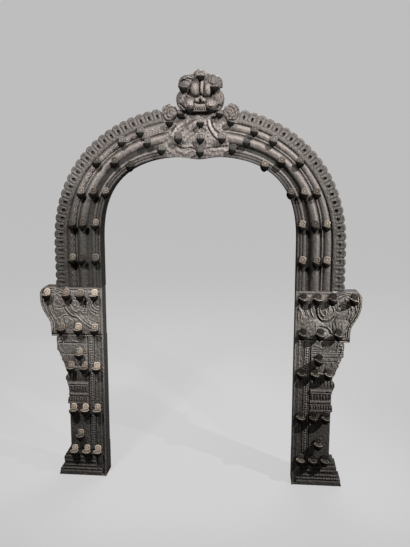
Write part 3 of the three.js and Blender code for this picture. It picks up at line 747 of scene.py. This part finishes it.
def voluteRelief(side):
    # a curled leaf: ridges run round a middle that lies low and towards the mask, and fade there
    radius = np.linspace(0.02, 1, 40)[:, None]
    turn = np.linspace(0, 2 * math.pi, 97)[None, :-1]
    rim = 18.6 + 0.8 * np.cos(7 * turn + 1.2)
    across, up = radius * rim * np.cos(turn), radius * rim * np.sin(turn)
    x, z = crownShift + side * (volute["spread"] + across), volute["height"] + up
    r = np.hypot(across + 4, up + 4)
    away = np.arctan2(up + 4, across + 4)
    ridges = np.cos(2 * math.pi * (r / 7.6 - 0.2 * away) + 0.7 * np.sin(3 * away))
    strength = 0.5 + 0.5 * np.cos(away - 0.9)
    height = 6.0 * np.sqrt(np.clip(1.04 - radius**2, 0, None)) + 1.3 * ridges * (0.1 + 0.9 * strength)
    height = 1.6 + height + 1.4 * np.clip(1 - (r / 5) ** 2, 0, 1) + uneven(x, z, 0.55)
    count = turn.shape[1]
    edge = np.stack([x[-1], np.full(count, faceY - seam), z[-1]], axis=-1)[None]
    front = np.stack([x, faceY - height, z], axis=-1)
    wear = np.concatenate([wearAndShadeOf(height, 2, 0.3), np.full((1, count), plainWear)])
    return loopPart(np.concatenate([front, edge]), wear.ravel())


for sideName, side in sides.items():
    node, dull = "volute_leaf_" + sideName, volute["dull"]
    addPiece("volute_" + sideName, voluteRelief(side), "arch", "bronze", [node], dull)
print("mask made")


# the capitals

# distance from the axis and height, along the top and along the foot
capitalTop = [
    (235, 489.6), (322, 489.6), (325, 481), (333, 480), (341, 485), (351, 488.6), (366, 489.6),
    (380, 489.6), (386, 484), (391, 475),
]
capitalFoot = [(235, 366), (365.7, 366), (366, 397), (371, 409), (381, 425), (388, 441), (391, 457)]
capitalDomes = {  # middle (distance from the axis, height), half sizes, rise, power
    "right": [
        ((305, 441), (22, 22), 7, 2), ((350, 450), (30, 36), 5.6, 2.2), ((250, 432), (18, 30), 5, 2),
        ((278, 402), (31, 25), 6.4, 2), ((344, 404), (21, 25), 6.2, 2), ((338, 449), (7, 6), 7.4, 2),
        ((303, 385), (10, 8), 5.4, 2),
    ],
    "left": [
        ((306, 441), (22, 22), 6.4, 2), ((352, 446), (26, 36), 5.6, 2.2), ((252, 450), (22, 28), 5.4, 2),
        ((285, 400), (42, 24), 5.4, 2), ((336, 400), (24, 22), 5.4, 2), ((302, 446), (5, 7), 8.6, 2),
    ],
}
capitalRidges = {  # points, half width, rise
    "right": [
        ([(288, 448), (290, 432), (299, 422), (313, 423), (323, 432), (327, 446), (320, 458)], 1.8, 1.6),
        ([(293, 450), (296, 438), (303, 432), (308, 436), (306, 446)], 1.6, 1.7),
        ([(312, 458), (315, 446), (312, 436)], 1.3, 1.3),
        ([(276, 457), (272, 444), (278, 430)], 1.9, 1.6),
        ([(266, 460), (262, 446), (268, 430)], 1.5, 1.2), ([(244, 449), (251, 438), (249, 425)], 2, 1.4),
        ([(343, 458), (357, 452), (362, 440), (358, 424)], 1.3, 1.2),
        ([(346, 463), (365, 455), (370, 441), (364, 421)], 1.4, 1.4),
        ([(353, 471), (374, 458), (378, 438), (368, 417)], 1.4, 1.4),
        ([(356, 478), (379, 468), (384, 446), (376, 422), (364, 404)], 1.5, 1.5),
        ([(254, 412), (268, 418), (280, 420)], 1.4, 1), ([(262, 396), (274, 410)], 1.4, 1),
        ([(286, 392), (284, 410)], 1.4, 1),
    ],
    "left": [
        ([(364, 467), (367, 442), (362, 422), (353, 409)], 1.8, 1.4),
        ([(374, 476), (377, 444), (371, 424), (360, 406)], 1.5, 1.4),
        ([(327, 440), (321, 430), (312, 421), (300, 417)], 1.7, 1.9),
        ([(313, 446), (308, 436), (299, 429)], 1.5, 1.7),
        ([(315, 458), (305, 463), (293, 458)], 1.7, 1.4),
        ([(260, 462), (259, 446), (250, 437), (241, 436)], 1.5, 1.6),
        ([(255, 459), (253, 447), (245, 442)], 1.5, 1.4),
        ([(265, 448), (261, 435), (248, 428)], 1.5, 1.6),
        ([(272, 452), (268, 436), (258, 424), (246, 419)], 1.4, 1.3),
        ([(342, 412), (332, 420), (322, 420)], 1.6, 1.5),
        ([(338, 402), (335, 412), (324, 415), (315, 408)], 1.6, 1.5),
        ([(304, 423), (284, 404), (262, 388)], 2, 1.6), ([(276, 418), (267, 404), (257, 390)], 1.8, 1.4),
        ([(292, 421), (276, 406), (262, 397)], 1.2, 1), ([(348, 462), (341, 452), (334, 443)], 1.8, 1.5),
        ([(360, 478), (346, 481), (334, 487)], 1.6, 1.5),
        ([(354, 470), (345, 474), (334, 477)], 1.4, 1.3),
    ],
}
capitalGrooves = {  # points, half width, depth
    "right": [
        ([(276, 464), (284, 447), (288, 430), (297, 418)], 1.7, 3.2),
        ([(290, 425), (300, 415), (314, 417), (326, 428)], 1.6, 3.2),
        ([(294, 404), (304, 402), (314, 397), (319, 387)], 2.1, 3.8),
        ([(331, 428), (323, 410), (325, 392)], 1.5, 2.4),
        ([(330, 445), (338, 441), (347, 446)], 1.3, 2.2),
        ([(381, 474), (382, 446), (373, 424), (362, 406)], 1.1, 1.6),
        ([(334, 470), (344, 476), (356, 484)], 1.3, 2.2),
        ([(256, 462), (256, 446), (260, 430)], 1.3, 1.6),
    ],
    "left": [
        ([(332, 443), (326, 428), (314, 416), (300, 412)], 1.6, 2.8),
        ([(288, 456), (291, 441), (298, 435)], 1.4, 1.8),
        ([(352, 439), (341, 438), (331, 441)], 1.4, 2.2),
        ([(357, 467), (360, 442), (356, 424), (347, 411)], 1.3, 1.8),
        ([(380, 476), (382, 446), (375, 425), (364, 406)], 1.2, 1.8),
        ([(310, 386), (306, 402), (314, 414)], 1.6, 2.4),
        ([(280, 466), (276, 448), (282, 428)], 1.5, 2.2),
        ([(290, 424), (274, 412), (256, 404)], 1.2, 1.6),
    ],
}
fanMiddle = {"right": (337, 378), "left": (326, 380)}
capitalMouldings = {  # place and height; the rim's place is how far in from its line
    "rimLine": [
        (330, 481), (341, 486), (353, 489), (370, 489), (383, 487), (389, 472), (388, 446), (379, 424),
        (369, 409), (364, 396), (364, 380),
    ],
    "rim": [(0, 5), (2.6, 5.2), (3.6, 0.4), (4.6, 0.6), (5.4, 4.8), (7.2, 4.8), (8.4, 2.6)],
    "fillet": [(476, 0), (478, 1), (482, 1), (483.5, -0.8), (485, 3.4), (489.6, 3.4)],
    "strip": [(235, 1.6), (236, 2.6), (241, 2.6), (242.5, 0.2), (244.5, 0.2)],
    "ledge": [(366, 2.2), (366.6, 3), (368.6, 3), (369.6, -0.8), (371, -0.8), (372, 2), (380, 2.4)],
}


def capitalRelief(sideName):
    # low broad domes, cut by fine veins, inside a moulding that follows the outline
    side = sides[sideName]
    columns = np.linspace(innerX, 390.8, 230)
    top, foot = readTable(capitalTop, columns), readTable(capitalFoot, columns)
    v = np.linspace(0, 1, 170)
    z = foot[:, None] + v[None, :] * (top - foot)[:, None]
    u = np.broadcast_to(columns[:, None], z.shape)
    domes = [dome(u, z, *form) for form in capitalDomes[sideName]]
    height = np.maximum.reduce([np.full(u.shape, 3.0), *domes])
    for points, halfWidth, rise in capitalRidges[sideName]:
        height += 1.35 * cordOn(u, z, smoothPath(points), halfWidth, rise)
    height = grooved(height, u, z, capitalGrooves[sideName])
    # fan of veins in the lower outer corner
    fanX, fanZ = fanMiddle[sideName]
    reach = np.hypot(u - fanX, z - fanZ)
    fan = np.clip((reach - 8) / 5, 0, 1) * np.clip((42 - reach) / 6, 0, 1) * (u > 314) * (z > fanZ)
    height -= 1.2 * fan * np.clip(np.cos(np.arctan2(z - fanZ, u - fanX) * 14), 0, 1) ** 2
    # a double moulding along the outer edge
    edge = distanceTo(u, z, smoothPath(capitalMouldings["rimLine"], 60))
    height = np.where((edge < 8.4) & (u > outerX), readTable(capitalMouldings["rim"], edge), height)
    if side < 0:
        hatch = (np.abs(u - 280.5) < 6) & (z > 426) & (z < 459)
        height += hatch * 0.8 * np.cos(z * 2 * math.pi / 4.4)
    height += uneven(u, z, 0.26)
    fillet = np.maximum(readTable(capitalMouldings["fillet"], z), height * np.clip((484 - z) / 6, 0, 1))
    height = np.where((z > 476) & (u < 324), fillet, height)
    strip = np.maximum(readTable(capitalMouldings["strip"], u), np.where(u > 242.4, height, 0))
    height = np.where(u < 244.5, strip, height)
    lowest = np.where(z < ledgeZ + 12, np.minimum(height, 2.0 + (z - ledgeZ) * 0.5), height)
    height = np.where(z < ledgeZ, readTable(capitalMouldings["ledge"], z), lowest)
    return reliefPart(side * u, z, height, plateY, reach=3, gain=0.34)


def wallPart(outline, backY):
    # a rim behind a plate that follows its outline, set inwards by the thickness
    p = np.asarray(outline, dtype=float)
    area = 0.5 * np.sum(p[:, 0] * np.roll(p[:, 1], -1) - np.roll(p[:, 0], -1) * p[:, 1])
    ahead = np.roll(p, -1, axis=0) - p
    ahead /= np.linalg.norm(ahead, axis=1)[:, None]
    behind = np.roll(ahead, 1, axis=0)
    normal = np.stack([-ahead[:, 1], ahead[:, 0]], -1) + np.stack([-behind[:, 1], behind[:, 0]], -1)
    normal *= np.sign(area) * wall / np.clip(np.linalg.norm(normal, axis=1), 0.6, None)[:, None]
    inside = p + normal
    frontY = plateY - 1
    rows = []
    for (x0, z0), (x1, z1) in zip(p, inside):
        rows.append([[x0, frontY, z0], [x0, backY, z0], [x1, backY, z1], [x1, frontY, z1]])
    rings = np.array(rows)
    rings = np.concatenate([rings, rings[:1]])
    rows, cols, _ = rings.shape
    faces = gridFaces(rows, cols, closed=True) % ((rows - 1) * cols)
    return rings[:-1].reshape(-1, 3), faces.tolist(), np.full((rows - 1) * cols, plainWear)


def capitalPart(sideName):
    outline = [(sides[sideName] * min(u, 390.6), z) for u, z in capitalTop + capitalFoot[::-1]]
    return joinParts([capitalRelief(sideName), wallPart(outline, faceY + rimDepths["capital"])])


for sideName in sides:
    body, node = "pillar_" + sideName, "makara_capital_" + sideName
    addPiece("makara_" + sideName, capitalPart(sideName), body, "green_bronze", [node])
print("capitals made")


# the shafts

shaftEdge = [  # height, distance of the outer edge from the axis
    (78.3, 326), (190, 326), (191, 330), (196, 330), (205, 329), (206, 326.8), (212, 326.6), (237, 326.6),
    (238, 328), (244, 328), (247, 331), (254, 334), (263, 333), (264, 331), (270, 328), (277, 327),
    (282, 331), (286, 334), (292, 335), (300, 337.5), (306, 342), (311, 341), (318, 346), (326, 348),
    (331, 353), (340, 352.4), (356, 353.6), (364, 353), (365.7, 351),
]
shaftPlan = [  # distance outside the opening, height: border strip, inner panel, bead row
    (0, 1.6), (1, 2.8), (3.4, 2.8), (4.4, 0.6), (10, 0.8), (11, 1.9), (13, 1.9), (14, 0.8), (20.6, 0.9),
    (21.4, 1.8), (22.4, -0.9), (24.6, -0.9), (25.6, 1.6), (27, 1.2), (28, -0.2), (35, -0.2), (36, 1.5),
    (37.4, 1.5), (38.4, -1), (40.4, -1), (41.4, 1.5), (42, 1.5),
]
panelSteps = [  # mouldings of the outer panel, from the foot up: place, height of the relief
    (78, 1.5), (189, 1.5), (190.2, 3.8), (194.4, 4.2), (195.6, 1.2), (205.4, 1.4), (206.4, 3.2),
    (208.4, 3.2), (209.4, 0.4), (211.2, 0.4), (212.4, 4), (217.6, 4.6), (219, 1.2), (221, 0.8),
    (228, 1.6), (235.6, 3.8), (236.6, 5.8), (239.2, 6), (240.2, 3), (241.6, 3), (242.6, 6.4),
    (245.6, 6.6), (247, 2), (249.6, 0.6), (252, 1.2), (272, 1.6), (273.6, 3.2), (279, 3.4), (281, 2.6),
    (290, 3.6), (303, 4.8), (314, 4.4), (322, 3.8), (335, 3.6), (347, 3.2), (350, 2.6), (358, 2.8),
    (365.7, 2.4),
]


panelPetals = [  # rows across the panel: pitch, half width, middle, half height, rise
    (6.2, 2.7, 200.6, 5.6, 2.4), (7.2, 3.3, 229.4, 7.6, 1.8), (7.6, 3.4, 263, 9.5, 1.9),
]
panelLines = {-1: (348.3, 321.2), 1: (346.3, 341.5, 336.2, 327.3, 318.4)}  # thin grooves across it, by side
panelLeaf = [  # ridges: path, half width, height
    (smoothPath([(284, 300), (292, 290), (304, 286)]), 2.4, 5.4),
    (smoothPath([(322, 302), (316, 291), (304, 286)]), 2.4, 5.4),
    (smoothPath([(284, 330), (296, 336), (306, 330), (300, 325)]), 1.8, 4.6),
    (smoothPath([(286, 358), (300, 352), (318, 357)]), 1.6, 3.8),
    (spiralPath((344, 357), 7, 2, 1.2, 1.5, 1), 2.0, 5.0),
    (smoothPath([(349, 352), (347, 340), (341, 330), (334, 322)]), 2.2, 5.0),
    (spiralPath((341, 316), 6.5, 1.8, 1.2, 0.2, -1), 1.9, 5.4),
    (smoothPath([(337, 352), (336, 340), (330, 330)]), 1.8, 4.0),
]
panelFolds = [  # points, half width, depth
    ([(292, 313), (295, 303), (290, 292)], 1.5, 1.8), ([(308, 313), (309, 303), (308, 291)], 1.5, 1.8),
    ([(324, 313), (322, 303), (326, 293)], 1.5, 1.8),
]
base = {
    # height above the floor, height of the relief
    "steps": [
        (0, 7.8), (10.6, 8), (11.8, 5.2), (14.6, 5), (15.8, 6.9), (18.4, 6.7), (19.4, 4), (23, 4),
        (24, 5.7), (26.8, 5.5), (27.8, 3), (33.6, 2.6), (35, 5), (38.4, 5), (39.6, 2.4), (44, 4.2),
        (49, 3.6), (50.6, 1.2), (56, 2.6), (60, 1.4), (68, 1.6), (70, 2.8), (77.7, 2.4),
    ],
    # height above the floor, reach beyond the shaft
    "silhouette": [
        (0, 31), (3, 31), (4, 29.6), (15, 29), (16.4, 24.4), (22, 22.6), (29, 17), (33, 11), (36, 9),
        (37.4, 18.6), (42, 19.4), (48, 18.4), (51, 14), (53, 16), (57, 13), (60, 7), (68, 3.4), (77.7, 1),
    ],
    "stripRise": [(0, 6.4), (3.4, 6.4), (5, 3.6), (78, 0)],  # the strips stand out more towards the floor
    # blocks behind the steps: from, to, reach beyond the shaft
    "blocks": [(0, 15.5, 29), (15.5, 30, 22), (30, 37, 9), (37, 50, 18), (50, 60, 12), (60, 77.7, 1.5)],
}


def shaftRelief(side):
    rows = np.linspace(baseTop + seam, capitalZ - seam, 330)
    v = np.linspace(0, 1, 150)
    u = innerX + v[None, :] * (readTable(shaftEdge, rows)[:, None] - innerX)
    z = np.broadcast_to(rows[:, None], u.shape)
    along = ((z / 6.2) % 1 - 0.5) * 6.2 / 2.7
    beads = 1.8 * np.sqrt(np.clip(1 - ((u - 266.6) / 3.4) ** 2 - along**2, 0, None))
    plan = np.where((u > 263) & (u < 270.4), beads, readTable(shaftPlan, u - innerX))
    height = np.where(u < 276, plan, readTable(panelSteps, z))
    # petals, thin grooves, leaf and folds lie on the outer panel only
    outside = u > 277.5
    for pitch, half, middle, tall, rise in panelPetals:
        across = ((u - 277) / pitch % 1 - 0.5) * pitch / half
        petal = np.clip(1 - across**2 - ((z - middle) / tall) ** 2, 0, None)
        height += outside * rise * np.sqrt(petal)
    for line in panelLines[side]:
        height -= outside * 3.0 * np.exp(-(((z - line) / 0.9) ** 2))
    for path, halfWidth, rise in panelLeaf:
        height = np.where(outside, np.maximum(height, cordOn(u, z, path, halfWidth, rise)), height)
    height = np.where(outside, grooved(height, u, z, panelFolds), height) + uneven(u, z, 0.25)
    return reliefPart(side * u, z, height, plateY, reach=3, gain=0.3)


def shaftWalls(side):
    low, high, depth = baseTop + seam, capitalZ - seam, rimDepths["shaft"]
    return [
        sideBox(side, innerX, innerX + wall, low, high, depth),
        sideBox(side, outerX - wall, outerX, low, high, depth),
        sideBox(side, outerX - 1, outerX + 19, 332, high, rimDepths["bracket"]),
    ]


def basePart(side):
    # stepped mouldings on a plinth; the strips beside the opening run on down to its foot
    rows = np.linspace(0, baseTop - seam, 110)
    reach = outerX - innerX + readTable(base["silhouette"], rows)
    v = np.linspace(0, 1, 120)
    u = innerX + v[None, :] * reach[:, None]
    z = np.broadcast_to(rows[:, None], u.shape)
    plan = readTable(shaftPlan, u - innerX) + readTable(base["stripRise"], z)
    share = np.clip((u - np.where(z < 19, 246, 262)) / 1.6, 0, 1)  # the plinth crosses the strips
    height = plan * (1 - share) + readTable(base["steps"], z) * share
    rosette = dome(u, z, (252, 40), (8, 20), 6.0) * (0.75 + 0.25 * np.cos(z * 0.8) * np.cos(u * 0.9))
    height = np.where(u < 261, np.maximum(height, rosette), height) + uneven(u, z, 0.26)
    parts = [reliefPart(side * u, z, height, plateY, reach=3, gain=0.4)]
    depth = rimDepths["base"]
    for low, high, out in base["blocks"]:
        parts.append(sideBox(side, outerX - wall, outerX + out, low, high, depth - 0.01 * low))
    parts.append(sideBox(side, innerX, innerX + wall, 0, baseTop - seam, depth))
    parts.append(sideBox(side, innerX, outerX + 30, 0, 8, depth - 0.1))
    return joinParts(parts)


for sideName, side in sides.items():
    body = "pillar_" + sideName
    shaft = joinParts([shaftRelief(side), *shaftWalls(side)])
    addPiece("shaft_" + sideName, shaft, body, "bronze", ["pillar_shaft_" + sideName])
    addPiece("plinth_" + sideName, basePart(side), body, "bronze", ["pillar_base_" + sideName])
print("pillars made")


# the lamp cups

# on the arch's legs: (distance outside the opening, height above the joint)
legRows = {"spring": [(11, 71), (44, 71), (68, 71)]}
# on its curve: (distance outside the opening, degrees above the arch's centre)
curveRows = {
    "shoulder": [(11, 12.7), (41.5, 11.4), (69, 10.4)],
    "haunch": [(4.8, 31), (33.8, 27.8), (63.8, 25.2)],
    "turn": [(70.5, 40.4), (36.5, 46), (5.2, 51)],
    "brow": [(70.5, 54.8), (73.5, 64), (42, 65), (18.8, 70.4)],
}
# round the mask: (distance from its middle, height above the opening's crown)
jawRow = [(70, 77), (45, 95), (24, 106)]
crownRows = [[(-50, 39), (1, 39), (50, 39)], [(1, 75), (1, 39), (0, 9)]]
# on a pillar: height of the rims, distances outside the opening
pillarRows = {
    "capital": (jointZ - 16, [16, 51, 86, 135]),
    "ledge": (ledgeZ + 16, [18, 59, 102]),
    "bracket": (ledgeZ - 47, [58]),
    "neck": (ledgeZ - 82, [16, 48, 81]),
    "shaft": (180.0, [17, 48, 78]),
    "middle": (112.0, [62]),
    "base": (baseTop - 8, [19, 48, 79]),
}
maskCups = [(2, 178), (33, 154), (-37, 153)]

cup = {
    "radius": 11.0, "standOff": 6.0, "shank": 5.0, "shankDrop": 3.0, "strip": 4.0,
    # radius and height from the point below, up the wall, over the lip and down into the dish
    "profile": [
        (0, -17), (2.8, -16), (6, -13.4), (8.8, -9.8), (10.4, -6.2), (11, -3.6), (10.9, -1.8),
        (10.5, -0.5), (10.1, 0), (9.5, 0), (8.9, -0.6), (6.8, -2), (3.4, -2.9), (0, -3.2),
    ],
    # wear along the profile: low below, where the bowl is painted black with soot and painted shade; high
    # at the lip, rubbed and with a painted highlight
    "wear": [0.05, 0.05, 0.05, 0.05, 0.05, 0.06, 0.2, 0.7, 0.95, 0.9, 0.6, 0.5, 0.6, 0.65],
    # the lug that stands up from the back of the bowl: radius and thickness from its back to its front
    "lug": [
        (0, 0), (7.9, 0), (8.6, 0.7), (8.5, 1.9), (7.7, 2.8), (6.4, 2.9), (5, 2.5), (3.8, 2.5),
        (2.4, 2.9), (0, 3),
    ],
    "lugWear": [0.3, 0.3, 0.6, 0.88, 0.95, 0.9, 0.74, 0.74, 0.92, 0.98],
    "lugRise": 5.4, "lugBack": 6.4,
    "lean": 4.0,  # degrees that a lamp may lean to either side
}


def bowlPart(place, shine, size):
    wear = np.minimum(shine * np.array(cup["wear"]), 1)
    return turnedPart(np.array(cup["profile"]) * size, wear, 24, place)


def lugPart(place, shine):
    wear = np.minimum(shine * np.array(cup["lugWear"]), 1)
    points, faces, wear = turnedPart(cup["lug"], wear, 20, place, upright=False)
    # the disc is pressed towards a square, and a little narrower
    across, up = points[:, 0] - place[0], points[:, 2] - place[2]
    corner = (np.abs(across) ** 3 + np.abs(up) ** 3 + 1e-9) ** (1 / 3) / (np.hypot(across, up) + 1e-9)
    spread = rng.uniform(0.84, 0.98, 2)
    points[:, 0] = place[0] + across / corner * spread[0]
    points[:, 2] = place[2] + up / corner * spread[1]
    return points, faces, wear


def cupParts(x, z, lean, polishAndHighlight, size, withLug):
    cupY = faceY - cup["standOff"] - cup["radius"]
    lipShine, lugShine = np.array(polishAndHighlight) * rng.uniform(0.75, 1.2)
    parts = [bowlPart((x, cupY, z), lipShine, size)]
    if withLug:
        parts.append(lugPart((x, faceY - cup["lugBack"], z + cup["lugRise"]), lugShine))
    half = cup["shank"] / 2
    middle = z - cup["shankDrop"] - half
    shank = boxPart((x - half, cupY + 5.5, middle - half), (x + half, plateY + 2.3, middle + half), 0.4)
    cosLean, sinLean = math.cos(lean), math.sin(lean)
    for points, _, _ in parts:
        dx, dz = points[:, 0] - x, points[:, 2] - middle
        points[:, 0] = x + dx * cosLean + dz * sinLean
        points[:, 2] = middle - dx * sinLean + dz * cosLean
    return [*parts, shank]


def stripParts(cups):
    # the riveting strips behind the plate
    parts = []
    for (x0, z0), (x1, z1) in zip(cups[:-1], cups[1:]):
        drop = cup["shankDrop"] + cup["shank"] / 2
        along = np.array([x1 - x0, z1 - z0], dtype=float)
        along /= np.linalg.norm(along)
        off = np.array([-along[1], along[0]]) * cup["strip"] / 2
        a = np.array([x0, z0 - drop])
        b = np.array([x1, z1 - drop])
        ends = [a + off, a - off, b - off, b + off]
        rings = np.array([[[p[0], y, p[1]] for p in ends] for y in (plateY + 0.3, plateY + 2.3)])
        parts.append(loopPart(rings, np.full(8, 0.4)))
    return parts


def rowPart(rows, roll, polishAndHighlight, size, withLugs=True):
    parts = []
    for cups in rows:
        for x, z in cups:
            lean = math.radians(roll + rng.uniform(-1, 1) * cup["lean"])
            parts += cupParts(x, z, lean, polishAndHighlight, size, withLugs)
        parts += stripParts(cups)
    return joinParts(parts)


def aroundMask(cups, side=1):
    return [(crownShift + side * x, arch["crown"] + rise) for x, rise in cups]


def onCurve(s, degrees):
    x, z = archPoint(s, 1 + degrees / 90)
    return float(x), float(z)


def archCups(side):
    # every row of one half of the arch, in place
    rows = {name: [(innerX + s, jointZ + rise) for s, rise in cups] for name, cups in legRows.items()}
    rows |= {name: [onCurve(s, degrees) for s, degrees in cups] for name, cups in curveRows.items()}
    rows = {name: [(side * x, z) for x, z in cups] for name, cups in rows.items()}
    return rows | {"jaw": aroundMask(jawRow, side)}


def pillarCups(side):
    return {name: [(side * (innerX + out), z) for out in outs] for name, (z, outs) in pillarRows.items()}


lampLooks = {  # how pale lip and lug are made, the lip partly rubbed and partly a painted highlight, then the size of the bowl in radius and height
    "left": ((1.0, 1.0), (1.0, 1.0)), "right": ((0.9, 0.5), (1.0, 1.0)),
    "arch": ((0.66, 0.68), (0.92, 0.84)), "dull": ((0.66, 0.68), (0.86, 0.8)),
    "crown": ((0.6, 0.78), (0.84, 0.8)), "mask": ((1.0, 1.0), (0.92, 0.82)),
}
rolls = {"left": -1.0, "right": 13.0}  # degrees that the lamps of a side lean
dullRows = ("jaw", "brow")  # these are as grey as the bronze behind them
for sideName, side in sides.items():
    for rows, body in ((archCups(side), "arch"), (pillarCups(side), "pillar_" + sideName)):
        for rowName, cups in rows.items():
            isDull = rowName in dullRows
            look = "dull" if isDull else "arch" if body == "arch" else sideName
            lamps = rowPart([cups], rolls[sideName], *lampLooks[look], withLugs=rowName != "jaw")
            ending = rowName + "_" + sideName
            slotName = "bronze" if isDull else "worn_bronze"
            addPiece("lamps_" + ending, lamps, body, slotName, ["lamp_row_" + ending], sootyAndShaded=True)
crownLamps = rowPart([aroundMask(cups) for cups in crownRows], 0.0, *lampLooks["crown"])
addPiece("lamps_crown", crownLamps, "arch", "bronze", ["lamp_row_crown"], sootyAndShaded=True)
maskLamps = []
for x, z in aroundMask(maskCups):
    maskLamps += cupParts(x, z, 0.0, *lampLooks["mask"], withLug=False)
addPiece("lamps_mask", joinParts(maskLamps), "arch", "bronze", ["lion_mask"], sootyAndShaded=True)
print("lamp cups made")


# the joint's own pieces keep their shape and get the dark finish

for sideName in sides:
    for kind in ("tongue_", "socket_"):
        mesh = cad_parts[kind + sideName].data
        mesh.materials.clear()
        mesh.materials.append(bronzes["dark_bronze"])


# floor, lights and camera

stage = {
    "floorColour": (0.42, 0.42, 0.42), "floorGlow": (0.60, 0.60, 0.60), "glowShare": 0.85,
    "hiddenColour": (0.10, 0.10, 0.10),  # of the floor as the object sees it
    "skySeen": (0.82, 0.82, 0.82), "skyLight": (0.10, 0.10, 0.10),
    "front": -4.0, "bendStart": 3.0, "bendRadius": 1.5, "wallTop": 6.0, "halfWidth": 6.0,  # of the floor
    # place, aim, cone in degrees, radius and power of each light
    "spots": {
        "crownLeft": ((-0.42, -1.30, 1.62), (-0.10, 0, 0.86), 40, 0.14, 70.0),
        "crownRight": ((0.88, -1.05, 1.46), (0.12, 0, 0.84), 44, 0.025, 110.0),
        "rightSpot": ((0.95, -0.47, 0.86), (0.30, 0, 0.30), 60, 0.012, 80.0),
        "leftSpot": ((-0.38, -0.70, 1.15), (-0.30, 0, 0.30), 56, 0.06, 58.0),
    },
    "rim": ((0.25, 1.3, 2.2), (0, 0, 0.5), 1.2, 60.0),  # place, aim, size and power of the light behind
    # place, degrees down and to the left, focal length in pixels of a picture whose long side is given
    "camera": {"place": (0.150, -1.448, 0.762), "down": 9.17, "turn": 5.22, "focal": 610, "longSide": 547},
}


def stageMaterial():
    # pale to the camera, with some light of its own for the camera alone; dim to the object
    material = bpy.data.materials.new("plain_floor")
    node, link = newGraph(material)
    path = node("ShaderNodeLightPath")
    pale = node("ShaderNodeBsdfDiffuse", Color=(*stage["floorColour"], 1))
    glow = node("ShaderNodeEmission", Color=(*stage["floorGlow"], 1))
    seen = node("ShaderNodeMixShader", Fac=stage["glowShare"])
    dim = node("ShaderNodeBsdfDiffuse", Color=(*stage["hiddenColour"], 1))
    choose = node("ShaderNodeMixShader")
    output = node("ShaderNodeOutputMaterial")
    link(pale.outputs["BSDF"], seen.inputs[1])
    link(glow.outputs["Emission"], seen.inputs[2])
    link(path.outputs["Is Camera Ray"], choose.inputs["Fac"])
    link(dim.outputs["BSDF"], choose.inputs[1])
    link(seen.outputs["Shader"], choose.inputs[2])
    link(choose.outputs["Shader"], output.inputs["Surface"])
    return material


def makeFloor():
    # a floor that bends up into a wall far behind the object, as one sheet
    start, radius = stage["bendStart"], stage["bendRadius"]
    bend = [(stage["front"], 0.0), (start, 0.0)]
    for k in range(1, 13):
        angle = math.radians(90 * k / 12)
        bend.append((start + radius * math.sin(angle), radius - radius * math.cos(angle)))
    bend.append((start + radius, stage["wallTop"]))
    points = [(x, y, z) for y, z in bend for x in (-stage["halfWidth"], stage["halfWidth"])]
    faces = [[2 * i, 2 * i + 1, 2 * i + 3, 2 * i + 2] for i in range(len(bend) - 1)]
    mesh = bpy.data.meshes.new("floor")
    mesh.from_pydata(points, [], faces)
    mesh.shade_smooth()
    mesh.materials.append(stageMaterial())
    floor = bpy.data.objects.new("floor", mesh)
    floor.location.z = -0.0005
    bpy.context.scene.collection.objects.link(floor)


def makeLight(name, kind, place, target, power):
    data = bpy.data.lights.new(name, kind)
    data.energy = power
    light = bpy.data.objects.new(name, data)
    light.location = place
    aim = Vector(target) - Vector(place)
    light.rotation_euler = aim.to_track_quat("-Z", "Y").to_euler()
    bpy.context.scene.collection.objects.link(light)
    return data


def makeWorld():
    world = bpy.data.worlds.new("studio")
    node, link = newGraph(world)
    path = node("ShaderNodeLightPath")
    seen = node("ShaderNodeBackground", Color=(*stage["skySeen"], 1))
    unseen = node("ShaderNodeBackground", Color=(*stage["skyLight"], 1))
    choose = node("ShaderNodeMixShader")
    output = node("ShaderNodeOutputWorld")
    link(path.outputs["Is Camera Ray"], choose.inputs["Fac"])
    link(unseen.outputs["Background"], choose.inputs[1])
    link(seen.outputs["Background"], choose.inputs[2])
    link(choose.outputs["Shader"], output.inputs["Surface"])
    bpy.context.scene.world = world


def makeCamera():
    view = stage["camera"]
    data = bpy.data.cameras.new("camera")
    data.sensor_width = 36.0
    data.lens = data.sensor_width * view["focal"] / view["longSide"]
    camera = bpy.data.objects.new("camera", data)
    camera.location = view["place"]
    camera.rotation_euler = (math.radians(90 - view["down"]), 0, math.radians(view["turn"]))
    bpy.context.scene.collection.objects.link(camera)
    bpy.context.scene.camera = camera


makeFloor()
makeWorld()
for lightName, (place, target, cone, radius, power) in stage["spots"].items():
    spot = makeLight(lightName, "SPOT", place, target, power)
    spot.spot_size, spot.spot_blend, spot.shadow_soft_size = math.radians(cone), 0.9, radius
place, target, size, power = stage["rim"]
makeLight("rim", "AREA", place, target, power).size = size
makeCamera()
bpy.context.scene.view_settings.view_transform = "Standard"
print("stage made")
